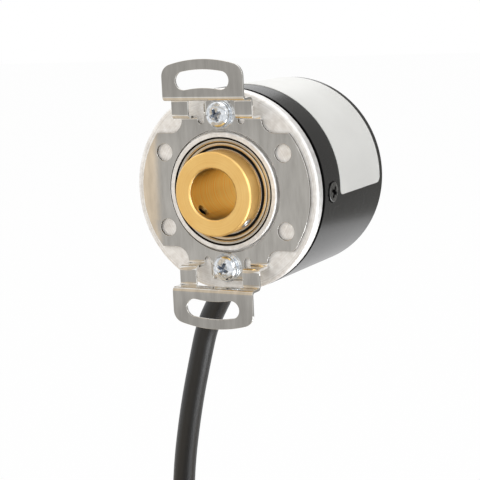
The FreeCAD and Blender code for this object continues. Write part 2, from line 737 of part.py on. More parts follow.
def sensor_block():
    """Mask, sensor chip and their holder, which stands on the front of the board."""
    mask_y = disc_back_y + running_gap
    holder_y = mask_y + mask_thickness
    pocket_y = holder_y + sensor_pocket_depth
    half, wall, chip = sensor_half_width, sensor_wall, sensor_chip
    z0, z1 = track_middle_radius - sensor_inner_reach, track_middle_radius + sensor_outer_reach
    middle = (z0 + z1) / 2
    holder = block(-half, half, holder_y, board_front_y, z0, z1)
    pocket = block(wall - half, half - wall, holder_y, pocket_y, z0 + wall, z1 - wall)
    parts["sensor_holder"] = holder.cut(pocket)
    z2, z3 = z0 + mask_margin, z1 - mask_margin
    parts["mask_plate"] = block(-mask_half_width, mask_half_width, mask_y, holder_y, z2, z3)
    chip_y = pocket_y - sensor_chip_thickness
    parts["photo_sensor"] = block(-chip, chip, chip_y, pocket_y, middle - chip / 2, middle + chip / 2)


def circuit_board():
    """Round board on three standoffs."""
    board = rod(board_radius, board_front_y, board_back_y)
    pan = pan_screw(standoff_stud_radius, board_screw_length, board_head_radius, board_head_height)
    thread_y = board_back_y - board_screw_length
    standoffs, screws = [], []
    for angle in standoff_angles:
        x, _, z = polar(standoff_circle, angle)
        hole = standoff_stud_radius + screw_clearance
        board = board.cut(rod(hole, board_front_y, board_back_y, x, z))
        post = placed(prism(standoff_flats, board_front_y - spigot_back_y), V(x, spigot_back_y, z), V(0, 1, 0))
        stud = rod(standoff_stud_radius, spigot_back_y - standoff_stud_length, spigot_back_y, x, z)
        standoffs.append(post.fuse(stud).cut(rod(standoff_stud_radius, thread_y, board_back_y, x, z)))
        screws.append(placed(pan, V(x, board_back_y, z), V(0, 1, 0)))
    parts["circuit_board"] = board
    parts["board_standoffs"] = group(standoffs)
    parts["board_screws"] = group(screws)


def chip(place, length, width):
    """A block on the back of the board."""
    x, z = (share * board_radius for share in place)
    corner = V(x - length / 2, board_back_y, z - width / 2)
    return Part.makeBox(length, chip_height, width, corner)


def can(place, radius, height):
    """A round capacitor on the back of the board."""
    x, z = (share * board_radius for share in place)
    return rod(radius, board_back_y, board_back_y + height, x, z)


def board_components():
    """Chips, capacitors and the wires' socket on the back of the board."""
    line_driver = chip(line_driver_place, line_driver_length, line_driver_width)
    counter = chip(counter_place, counter_length, counter_width)
    regulator = chip(regulator_place, regulator_length, regulator_width)
    parts["board_chips"] = group([line_driver, counter, regulator])
    large_can = can(large_can_place, large_can_radius, large_can_height)
    small_can = can(small_can_place, small_can_radius, small_can_height)
    small_chips = [chip(place, chip_capacitor_length, chip_capacitor_width) for place in chip_capacitor_places]
    parts["board_capacitors"] = group([large_can, small_can] + small_chips)
    half, wall = socket_half_width, socket_wall
    floor_y, top_y = board_back_y + socket_floor, board_back_y + socket_height
    socket = block(-half, half, board_back_y, top_y, socket_near_z, socket_far_z)
    pocket = block(wall - half, half - wall, floor_y, top_y, socket_near_z + wall, socket_far_z - wall)
    parts["wire_connector"] = socket.cut(pocket)


def rear_cover():
    """Black cap over the sensor and board, with its screw recesses and cable hole."""
    edge, lip, inner, outer = cover_edge, cover_lip, cover_inner_radius, cover_radius
    cover = turned(
        (inner, cover_front_y), (outer - lip, cover_front_y), (outer, cover_front_y + lip),
        (outer, cover_back_y - edge), (outer - edge, cover_back_y), (0, cover_back_y),
        (0, cover_inner_back_y), (inner, cover_inner_back_y),
    )
    seat, reach = outer - cover_recess_depth, inner - cover_wall
    for angle in cover_screw_angles:
        recess = radial_rod(cover_head_radius + cover_head_clearance, seat, outer + lip, angle, cover_screw_y)
        hole = radial_rod(cover_screw_radius + screw_clearance, reach, outer, angle, cover_screw_y)
        cover = cover.cut(recess).cut(hole)
    return cover.cut(radial_rod(grommet_hole_radius, reach, outer + cover_wall, cable_angle, cable_y))


def cover_screws():
    screw = pan_screw(cover_screw_radius, cover_screw_length, cover_head_radius, cover_head_height)
    seat = cover_radius - cover_recess_depth
    return group([placed(screw, polar(seat, a, cover_screw_y), polar(1, a)) for a in cover_screw_angles])


def nameplate_label():
    """A bare foil label wrapped over the top of the cover, with round corners."""
    outer, corner = cover_radius + label_thickness, label_corner_radius
    y0, y1 = cover_front_y + label_front_margin, cover_back_y - label_back_margin
    label = sector(outer, y0, y1, label_start_angle, label_end_angle).cut(rod(cover_radius, y0, y1))
    turn = degrees(corner / cover_radius)
    sides = ((label_start_angle, label_start_angle + turn), (label_end_angle, label_end_angle - turn))
    for end_angle, inner_angle in sides:
        for end_y, inner_y in ((y0, y0 + corner), (y1, y1 - corner)):
            spans = sorted((end_y, inner_y)) + sorted((end_angle, inner_angle))
            square = sector(outer + corner, *spans)
            round_corner = radial_rod(corner, cover_inner_radius, outer + 2 * corner, inner_angle, inner_y)
            label = label.cut(square.cut(round_corner))
    return label


def cable_grommet():
    """Rubber bush in the cover's wall: a collar inside, a neck and a short tapered nozzle."""
    inner, outer, angle = cover_inner_radius, cover_radius, cable_angle
    depth = grommet_collar_depth
    collar = radial_rod(grommet_collar_radius, inner - 2 * depth, inner + 2 * depth, angle, cable_y)
    collar = collar.common(rod(inner - grommet_fit, 0, cover_back_y)).cut(rod(inner - depth, 0, cover_back_y))
    neck_radius = grommet_hole_radius - cable_clearance
    neck = radial_rod(neck_radius, inner - depth / 2, outer + cable_clearance, angle, cable_y)
    start, tip = outer - depth, outer + grommet_length
    foot, out = polar(start, angle, cable_y), polar(1, angle)
    nozzle = Part.makeCone(grommet_base_radius, grommet_tip_radius, tip - start, foot, out)
    nozzle = nozzle.cut(rod(outer + grommet_fit, 0, 2 * cover_back_y))
    passage = radial_rod(cable_radius, inner / 2, tip + grommet_length, angle, cable_y)
    return fused([collar, neck, nozzle]).cut(passage)


def coil_frame():
    """Middle of the coil's underside; its outer turn takes the cable's last run."""
    end_x, end_z = route[-1]
    outer_turn = coil_outer_radius - cable_radius
    return V(end_x, cable_y - outer_turn, end_z - cable_radius)


def cable():
    """The free cable: tube, coil, tie, free end and its bared leads."""
    middle = coil_frame()
    height = 2 * cable_radius * coil_layers
    coil = Part.makeCylinder(coil_outer_radius, height, middle)
    coil = coil.cut(Part.makeCylinder(coil_inner_radius, height, middle))
    coil = coil.makeFillet(coil_corner, [e for e in coil.Edges if e.BoundBox.ZLength < 0.01])
    start_reach = cover_inner_radius - cable_tube_inset
    points = [polar(reach, cable_angle, cable_y) for reach in (start_reach, first_bend_reach)]
    points += [V(x, cable_y, z) for x, z in route]
    inner_end = radial_rod(cable_radius, start_reach - cable_inner_length, start_reach, cable_angle, cable_y)
    top = middle.z + height
    along = V(sin(radians(end_angle)), -cos(radians(end_angle)), 0)
    end_start = on_coil(middle, end_angle, coil_middle_radius, top + cable_radius)
    free_end = Part.makeCylinder(cable_radius, end_length, end_start, along)
    parts["cable_coil"] = coil
    parts["cable_tube"] = group([cord(points, cable_radius).cut(coil), inner_end, free_end])
    parts["cable_tie"] = cable_tie(middle, height)
    cable_leads(middle, top, end_start + along * end_length, along)


def on_coil(middle, angle, radius, z):
    """A point round the coil's middle, seen from above."""
    return V(middle.x + radius * cos(radians(angle)), middle.y + radius * sin(radians(angle)), z)


def cable_leads(middle, top, tip, along):
    """The bared leads fan out from the free end and lie on the coil."""
    outward = V(-along.y, along.x, 0)
    rest_z = top + lead_radius + lead_rest_gap
    leads, cores = [], []
    for i in range(lead_count):
        around = radians(90 + 360 * i / lead_count)
        side = i - (lead_count - 1) / 2
        first = tip + outward * (lead_circle * cos(around)) + V(0, 0, lead_circle * sin(around))
        straight = first + along * lead_straight
        knee = on_coil(middle, lead_knee_angle, coil_lead_radius + side * lead_spread, rest_z)
        last = on_coil(middle, lead_end_angle, coil_lead_radius + side * lead_spread, rest_z)
        leads.append(cord([first, straight, knee, last], lead_radius))
        cores.append(Part.makeCylinder(lead_core_radius, lead_strip, last, last - knee))
    parts["cable_leads"] = group(leads)
    parts["lead_cores"] = group(cores)


def cable_tie(middle, height):
    """A strap round one place of the coil."""
    gap, t = tie_clearance, tie_thickness
    r0, r1 = coil_inner_radius - gap, coil_outer_radius + gap
    half, tall = tie_width / 2, height + 2 * gap
    outer = Part.makeBox(r1 - r0 + 2 * t, tie_width, tall + 2 * t, V(r0 - t, -half, -gap - t))
    inner = Part.makeBox(r1 - r0, tie_width, tall, V(r0, -half, -gap))
    outer, inner = (box.makeFillet(corner, [e for e in box.Edges if e.BoundBox.YLength > half])
                    for box, corner in ((outer, coil_corner), (inner, coil_corner - t)))
    strap = outer.cut(inner)
    strap.Placement = FreeCAD.Placement(middle, FreeCAD.Rotation(V(0, 0, 1), tie_angle))
    return strap


def cable_inner_parts():
    """The ferrule on the cable inside the cover, and the wires to the board."""
    end_reach = cover_inner_radius - cable_tube_inset - cable_inner_length
    r0 = end_reach + ferrule_inset
    ferrule = radial_rod(cable_radius + ferrule_thickness, r0, r0 + ferrule_length, cable_angle, cable_y)
    passage = radial_rod(cable_radius, r0, r0 + ferrule_length, cable_angle, cable_y)
    parts["cable_ferrule"] = ferrule.cut(passage)
    end, inward = polar(end_reach, cable_angle, cable_y), polar(-1, cable_angle)
    sideways = V(inward.z, 0, -inward.x)
    rim_z, pin_z = socket_near_z - wire_radius, (socket_near_z + socket_far_z) / 2 - wire_radius
    top_y = board_back_y + socket_height + 2 * wire_radius
    pin_y = board_back_y + socket_floor + wire_clearance
    wires = []
    for i in range(lead_count):
        side = (i - (lead_count - 1) / 2) * wire_spacing
        first = end + sideways * (side * wire_pinch)
        straight = first + inward * (3 * wire_radius)
        rim = V(-side, top_y + wire_radius, rim_z - wire_radius)
        over, pin = V(-side, top_y, pin_z), V(-side, pin_y, pin_z)
        wires.append(cord([first, straight, rim, over, pin], wire_radius))
    parts["inner_wires"] = group(wires)


def bracket_fasteners():
    screw = pan_screw(bracket_screw_radius, bracket_screw_length, bracket_head_radius, bracket_head_height)
    washer = tube(bracket_screw_radius, washer_radius, bracket_seat_y, plate_front_y)
    screws, washers = [], []
    for angle in screw_angles:
        place = polar(pattern_radius, angle)
        screws.append(placed(screw, V(place.x, bracket_seat_y, place.z), V(0, -1, 0)))
        washers.append(washer.translated(place))
    parts["bracket_screws"] = group(screws)
    parts["bracket_washers"] = group(washers)


parts["leaf_bracket"] = leaf_bracket()
bracket_fasteners()
parts["mounting_flange"] = mounting_flange()
bearing("front_bearing", bearing_front_y)
bearing("rear_bearing", rear_bearing_y)
parts["bearing_spacer"] = tube(seat_radius, shoulder_radius, front_bearing_back_y, rear_bearing_y)
parts["hollow_shaft"] = hollow_shaft()
parts["shaft_set_screws"] = group([set_screw(angle) for angle in set_screw_angles])
parts["spring_washer"] = spring_washer()
parts["retaining_ring"] = retaining_ring()
disc_assembly()
light_source()
sensor_block()
circuit_board()
board_components()
parts["rear_cover"] = rear_cover()
parts["cover_screws"] = cover_screws()
parts["cover_gasket"] = tube(spigot_radius, rim_radius - gasket_setback, rim_back_y, cover_front_y)
parts["nameplate_label"] = nameplate_label()
parts["cable_grommet"] = cable_grommet()
cable()
cable_inner_parts()

os.makedirs("parts", exist_ok=True)
for name, shape in parts.items():
    state = "" if shape.isValid() else "not valid"
    print("%-26s %2d solids  %9.1f mm3  %s" % (name, len(shape.Solids), shape.Volume, state))
    shape.exportStep("parts/%s.step" % name)
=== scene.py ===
from math import cos, pi, radians, sin

import bmesh
import bpy
from mathutils import Matrix, Vector


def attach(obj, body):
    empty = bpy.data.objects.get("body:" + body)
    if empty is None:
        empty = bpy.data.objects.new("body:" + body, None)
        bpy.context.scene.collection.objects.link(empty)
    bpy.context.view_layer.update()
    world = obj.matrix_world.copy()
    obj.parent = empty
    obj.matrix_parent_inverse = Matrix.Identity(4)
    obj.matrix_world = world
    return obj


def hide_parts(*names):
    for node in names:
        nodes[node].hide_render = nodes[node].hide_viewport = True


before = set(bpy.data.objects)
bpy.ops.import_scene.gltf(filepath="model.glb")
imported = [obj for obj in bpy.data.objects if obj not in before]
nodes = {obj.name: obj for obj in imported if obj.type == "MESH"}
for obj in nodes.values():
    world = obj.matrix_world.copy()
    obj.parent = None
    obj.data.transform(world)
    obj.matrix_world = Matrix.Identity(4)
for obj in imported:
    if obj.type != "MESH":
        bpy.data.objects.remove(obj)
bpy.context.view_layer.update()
mm = 0.001
facing = 0.9  # a face looks along a direction when its normal goes this far that way


# Camera, at the place that the photograph was taken from

camera = {
    "place": (134.4, -241.1, 37.0),
    "right": (0.8846, 0.4641, -0.0455),
    "up": (-0.0368, 0.1667, 0.9853),
    "back": (0.4649, -0.8699, 0.1645),
    "lens": 108.9,
    "sensor": 36.0,
}


def makeCamera():
    data = bpy.data.cameras.new("studioCamera")
    data.lens = camera["lens"]
    data.sensor_width = camera["sensor"]
    data.clip_start, data.clip_end = 0.01, 20
    seen = linked("studioCamera", data)
    axes = zip(camera["right"], camera["up"], camera["back"], camera["place"])
    seen.matrix_world = Matrix([(r, u, b, p * mm) for r, u, b, p in axes] + [(0, 0, 0, 1)])
    bpy.context.scene.camera = seen


# Tools for the pieces

def onlySelect(piece):
    bpy.ops.object.select_all(action="DESELECT")
    piece.select_set(True)
    bpy.context.view_layer.objects.active = piece


def applyModifier(piece, kind, **settings):
    modifier = piece.modifiers.new(kind.title(), kind)
    for name, value in settings.items():
        setattr(modifier, name, value)
    onlySelect(piece)
    bpy.ops.object.modifier_apply(modifier=modifier.name)


def smoothFaces(piece, angle):
    onlySelect(piece)
    bpy.ops.object.shade_smooth_by_angle(angle=radians(angle))


def softenEdges(piece, width, angle=35):
    applyModifier(piece, "BEVEL", width=width * mm, segments=2, limit_method="ANGLE",
                  angle_limit=radians(angle), use_clamp_overlap=True, miter_outer="MITER_ARC")
    smoothFaces(piece, angle)
    applyModifier(piece, "WEIGHTED_NORMAL", keep_sharp=True, weight=100)


def cutAway(piece, cutter, operation="DIFFERENCE"):
    applyModifier(piece, "BOOLEAN", object=cutter, operation=operation, solver="EXACT")
    bpy.data.objects.remove(cutter)


def settle(piece):
    # the piece's place goes into its mesh
    onlySelect(piece)
    bpy.ops.object.transform_apply(location=True, rotation=True, scale=True)


def standAt(piece, at, along, turn=0):
    # a piece made along Z at the origin goes to its place
    upright = Vector(along).to_track_quat("Z", "Y").to_matrix().to_4x4()
    piece.matrix_world = Matrix.Translation(Vector(at) * mm) @ upright @ Matrix.Rotation(radians(turn), 4, "Z")
    settle(piece)


def linked(name, data):
    piece = bpy.data.objects.new(name, data)
    bpy.context.scene.collection.objects.link(piece)
    return piece


def roundAxis(reach, depth, angle):
    # a place round the shaft axis, and the way out from the axis there
    out = Vector((cos(radians(angle)), 0, sin(radians(angle))))
    return out * reach + Vector((0, depth, 0)), out


def copyOf(piece, name):
    return linked(name, piece.data.copy())


def newBox(name, middle, size):
    bpy.ops.object.select_all(action="DESELECT")
    bpy.ops.mesh.primitive_cube_add(size=1, location=[c * mm for c in middle], scale=[c * mm for c in size])
    box = bpy.context.active_object
    box.name = name
    settle(box)
    return box


def editMode(kind):
    bpy.ops.object.mode_set(mode="EDIT")
    bpy.ops.mesh.select_mode(type=kind)


def finishPiece(piece, body, material, slot, *replaced):
    piece.data.materials.clear()
    piece.data.materials.append(material)
    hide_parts(*replaced)
    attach(piece, body)


def paintFaces(piece, material, test):
    # the faces that pass the test take a second material
    piece.data.materials.append(material)
    for face in piece.data.polygons:
        if test(face.center / mm, face.normal):
            face.material_index = len(piece.data.materials) - 1


def selectFaces(piece, test):
    shape = bmesh.from_edit_mesh(piece.data)
    shape.normal_update()
    for face in shape.faces:
        face.select_set(False)
    for face in shape.faces:
        if test(face.calc_center_median() / mm, face.normal):
            face.select_set(True)
    bmesh.update_edit_mesh(piece.data)


merging = {
    "turned": 0.001,  # points of a turned piece nearer than this become one
    "copied": 0.002,  # points of a CAD copy nearer than this become one
    "flatAngle": 0.5,  # triangles of a CAD copy flatter than this become one face
}


def turnedPiece(name, profile, steps):
    # one point is drawn along the profile (radius, height), and the line is spun round Z
    bpy.ops.object.select_all(action="DESELECT")
    bpy.ops.mesh.primitive_plane_add(size=mm)
    piece = bpy.context.active_object
    piece.name = name
    editMode("VERT")
    bpy.ops.mesh.select_all(action="SELECT")
    bpy.ops.mesh.merge(type="CENTER")
    bpy.ops.transform.translate(value=(profile[0][0] * mm, 0, profile[0][1] * mm))
    for (r0, z0), (r1, z1) in zip(profile, profile[1:]):
        step = ((r1 - r0) * mm, 0, (z1 - z0) * mm)
        bpy.ops.mesh.extrude_vertices_move(TRANSFORM_OT_translate={"value": step})
    bpy.ops.mesh.select_all(action="SELECT")
    bpy.ops.mesh.remove_doubles(threshold=merging["turned"] * mm)
    bpy.ops.mesh.spin(steps=steps, angle=2 * pi, center=(0, 0, 0), axis=(0, 0, 1))
    bpy.ops.mesh.select_all(action="SELECT")
    bpy.ops.mesh.remove_doubles(threshold=merging["turned"] * mm)
    bpy.ops.mesh.normals_make_consistent(inside=False)
    bpy.ops.object.mode_set(mode="OBJECT")
    return piece


def edgedCopy(node, name, width, body, material, slot):
    # a CAD piece with its sharp edges broken, as stamping and turning leave them
    piece = copyOf(nodes[node], name)
    onlySelect(piece)
    bpy.ops.object.mode_set(mode="EDIT")
    bpy.ops.mesh.select_all(action="SELECT")
    bpy.ops.mesh.remove_doubles(threshold=merging["copied"] * mm)
    bpy.ops.mesh.dissolve_limited(angle_limit=radians(merging["flatAngle"]))
    bpy.ops.object.mode_set(mode="OBJECT")
    softenEdges(piece, width)
    finishPiece(piece, body, material, slot, node)
    return piece


# Cable: one spline from the grommet down to the coil, round it and out to the bared end

cable = {
    "radius": 2.5,
    "exit": (-8.5, 29.4, -14.722),
    "planeY": 29.4,
    # x and z of its way down to the coil
    "run": [(-15.416, -26.7), (-19.1, -33.08), (-21.0, -39.5), (-24.45, -52.5), (-27.4, -68.5), (-28.1, -84.0),
            (-23.3, -95.7), (-14.6, -104.7), (-3.1, -109.6), (8.0, -109.6)],
    "coilMiddle": (8.0, -5.6),
    "pointsPerTurn": 16,
    # turns since the coil's start, and the reach or height there
    "turnRadius": [(0, 35), (0.88, 35), (1, 30), (1.88, 30), (2, 25), (2.88, 25), (3, 20), (4.58, 20), (4.7, 25),
                   (5.58, 25), (5.7, 30), (6.58, 30), (6.7, 35), (8.2, 35), (8.32, 30), (9.2, 30), (9.32, 25),
                   (10.2, 25), (10.32, 20), (10.6, 20), (10.75, 27.5)],
    "turnHeight": [(0, -109.6), (3.7, -109.6), (3.88, -104.6), (7.4, -104.6), (7.58, -99.6), (10.45, -99.6),
                   (10.6, -94.6), (10.75, -94.6)],
    "endTurn": 10.75,
    "endLength": 14.0,
    "length": 1.99,
}


def between(table, t):
    for (t0, a), (t1, b) in zip(table, table[1:]):
        if t <= t1:
            return a + (b - a) * (t - t0) / (t1 - t0)
    return table[-1][1]


def splineCurve(name, points, radius):
    data = bpy.data.curves.new(name, "CURVE")
    data.dimensions = "3D"
    data.bevel_depth = radius * mm
    data.bevel_resolution = 5
    data.use_fill_caps = True
    data.resolution_u = 8
    spline = data.splines.new("NURBS")
    spline.points.add(len(points) - 1)
    for point, (x, y, z) in zip(spline.points, points):
        point.co = (x * mm, y * mm, z * mm, 1)
    spline.order_u = 3
    spline.use_endpoint_u = True
    return linked(name, data)


def cableLine():
    points = [cable["exit"]] + [(x, cable["planeY"], z) for x, z in cable["run"]]
    middleX, middleY = cable["coilMiddle"]
    step = 1 / cable["pointsPerTurn"]
    outward = 1 / cos(pi * step)  # the spline runs inside its points by this
    for i in range(1, int(cable["endTurn"] / step) + 1):
        t = i * step
        angle = pi / 2 - 2 * pi * t
        reach = between(cable["turnRadius"], t) * outward
        height = between(cable["turnHeight"], t)
        points.append((middleX + reach * cos(angle), middleY + reach * sin(angle), height))
    x, y, z = points[-1]
    return points + [(x, y + cable["endLength"] / 2, z), (x, y + cable["endLength"], z)]


# Leads: the bared end of the cable, five colours, each cut to its copper

leads = {
    "radius": 0.6,
    "circle": 1.5,
    "straight": 5.0,
    "kneeAngle": 137,
    "endAngle": 114,
    "coilReach": 31.0,
    "spread": 1.9,
    "restHeight": -96.4,
    "colours": [("Black", (30, 30, 32)), ("White", (226, 224, 216)), ("Orange", (214, 116, 34)),
                ("Brown", (96, 58, 34)), ("Blue", (40, 84, 158))],
    "paler": 14,  # from the lead's darker tone to its lighter one
    "finish": dict(rough=(0.35, 0.45), metal=0.0, blotches=300, grain=3000, bump=0.003),
}


def leadLine(i, tip):
    middleX, middleY = cable["coilMiddle"]
    count = len(leads["colours"])
    around = radians(90 + 360 / count * i)
    side = leads["coilReach"] + (i - count // 2) * leads["spread"]
    first = Vector(tip) + Vector((-leads["circle"] * cos(around), 0, leads["circle"] * sin(around)))
    straight = first + Vector((0, leads["straight"], 0))
    ends = []
    for angle in (leads["kneeAngle"], leads["endAngle"]):
        a = radians(angle)
        ends.append(Vector((middleX + side * cos(a), middleY + side * sin(a), leads["restHeight"])))
    return [first, straight] + ends


# Finishes

def tone(red, green, blue):
    shades = [c / 255 for c in (red, green, blue)]
    return tuple(s / 12.92 if s <= 0.04045 else ((s + 0.055) / 1.055) ** 2.4 for s in shades) + (1,)


def newGroup(name, inputs, outputs):
    group = bpy.data.node_groups.new(name, "ShaderNodeTree")
    for label, kind, value in inputs:
        socket = group.interface.new_socket(label, in_out="INPUT", socket_type=kind)
        socket.default_value = value
    for label, kind in outputs:
        group.interface.new_socket(label, in_out="OUTPUT", socket_type=kind)
    return group, group.nodes.new("NodeGroupInput"), group.nodes.new("NodeGroupOutput")


def feed(tree, socket, value):
    if isinstance(value, bpy.types.NodeSocket):
        tree.links.new(value, socket)
    else:
        socket.default_value = value


def addNode(tree, kind, settings=None, **sockets):
    node = tree.nodes.new(kind)
    for name, value in (settings or {}).items():
        setattr(node, name, value)
    for name, value in sockets.items():
        # i0, i1 and so on are sockets by number, where several share a name
        feed(tree, node.inputs[int(name[1:])] if name[0] == "i" and name[1:].isdigit() else node.inputs[name], value)
    return node


def maths(tree, operation, a, b=0.0, clamp=False):
    return addNode(tree, "ShaderNodeMath", {"operation": operation, "use_clamp": clamp}, i0=a, i1=b).outputs[0]


marking = {
    "depthShare": 0.83,  # rings along the axis, against rings on a face
    "grainShare": 0.3,  # grain left on a turned face
    "boreRange": (0.4, 0.6),  # the bore's rings are sharper than the others
    "wearFrom": 0.52,  # Geometry's Pointiness is 0.5 on a flat face
    "wearSharpness": 6.0,
    "wornShare": 1.25,  # how much paler a worn edge is
    "wornLift": 0.01,
}


def blotchGroup():
    # slow cloudy changes of tone, and fine grain on top of them
    group, inside, outside = newGroup(
        "blotchesAndGrain",
        [("Vector", "NodeSocketVector", (0, 0, 0)), ("Blotches", "NodeSocketFloat", 120.0),
         ("Grain", "NodeSocketFloat", 3000.0)],
        [("Blotch", "NodeSocketFloat"), ("Grain", "NodeSocketFloat")])
    at, blotches, grain = (inside.outputs[label] for label in ("Vector", "Blotches", "Grain"))
    slow = addNode(group, "ShaderNodeTexNoise", Vector=at, Scale=blotches, Detail=3.0, Roughness=0.55)
    fast = addNode(group, "ShaderNodeTexNoise", Vector=at, Scale=grain, Detail=2.0, Roughness=0.6)
    group.links.new(slow.outputs[0], outside.inputs["Blotch"])
    group.links.new(fast.outputs[0], outside.inputs["Grain"])
    return group


def reachAndDepth(tree, vector):
    # how far a point is from the shaft axis, and how far along it, in metres
    parts = addNode(tree, "ShaderNodeSeparateXYZ", Vector=vector)
    flat = addNode(tree, "ShaderNodeCombineXYZ", X=parts.outputs["X"], Z=parts.outputs["Z"])
    reach = addNode(tree, "ShaderNodeVectorMath", {"operation": "LENGTH"}, i0=flat.outputs[0])
    return reach.outputs["Value"], parts.outputs["Y"]


def reachGroup():
    group, inside, outside = newGroup(
        "reachFromAxis", [("Vector", "NodeSocketVector", (0, 0, 0))], [("Reach", "NodeSocketFloat")])
    reach = reachAndDepth(group, inside.outputs["Vector"])[0]
    group.links.new(reach, outside.inputs["Reach"])
    return group


def turningGroup():
    # rings round the shaft axis on faces, and rings along it on rims and bores
    group, inside, outside = newGroup(
        "turningMarks",
        [("Vector", "NodeSocketVector", (0, 0, 0)), ("Rings", "NodeSocketFloat", 4000.0)],
        [("Marks", "NodeSocketFloat")])
    reach, depth = reachAndDepth(group, inside.outputs["Vector"])
    along = maths(group, "ADD", reach, maths(group, "MULTIPLY", depth, marking["depthShare"]))
    rings = addNode(group, "ShaderNodeTexNoise", {"noise_dimensions": "1D"}, W=along,
                    Scale=inside.outputs["Rings"], Detail=3.0, Roughness=0.65)
    group.links.new(rings.outputs[0], outside.inputs["Marks"])
    return group


def edgeWearGroup():
    # a mask that is 1 on exposed edges
    group, inside, outside = newGroup(
        "edgeWear", [("Sharpness", "NodeSocketFloat", 8.0)], [("Wear", "NodeSocketFloat")])
    shape = addNode(group, "ShaderNodeNewGeometry")
    above = maths(group, "SUBTRACT", shape.outputs["Pointiness"], marking["wearFrom"])
    worn = maths(group, "MULTIPLY", above, inside.outputs["Sharpness"], clamp=True)
    group.links.new(worn, outside.inputs["Wear"])
    return group


groups = {"blotches": blotchGroup(), "reach": reachGroup(), "turning": turningGroup(), "wear": edgeWearGroup()}


def useGroup(tree, name, **sockets):
    node = tree.nodes.new("ShaderNodeGroup")
    node.node_tree = groups[name]
    for label, value in sockets.items():
        feed(tree, node.inputs[label], value)
    return node


def mixed(tree, factor, first, second):
    # a Mix node has sockets for every kind of value: its colours are inputs 6 and 7 and output 2
    node = addNode(tree, "ShaderNodeMix", {"data_type": "RGBA"})
    for i, value in ((0, factor), (6, first), (7, second)):
        feed(tree, node.inputs[i], value)
    return node.outputs[2]


def scaled(tree, value, low, high, fromLow=0.3, fromHigh=0.7):
    return addNode(tree, "ShaderNodeMapRange", Value=value, i1=fromLow, i2=fromHigh, i3=low, i4=high).outputs[0]


def newMaterial(name):
    material = bpy.data.materials.new(name)
    material.use_nodes = True
    return material, material.node_tree


def startMaterial(name, metallic):
    material, tree = newMaterial(name)
    shader = tree.nodes["Principled BSDF"]
    shader.inputs["Metallic"].default_value = metallic
    return material, tree, shader, addNode(tree, "ShaderNodeTexCoord").outputs["Object"]


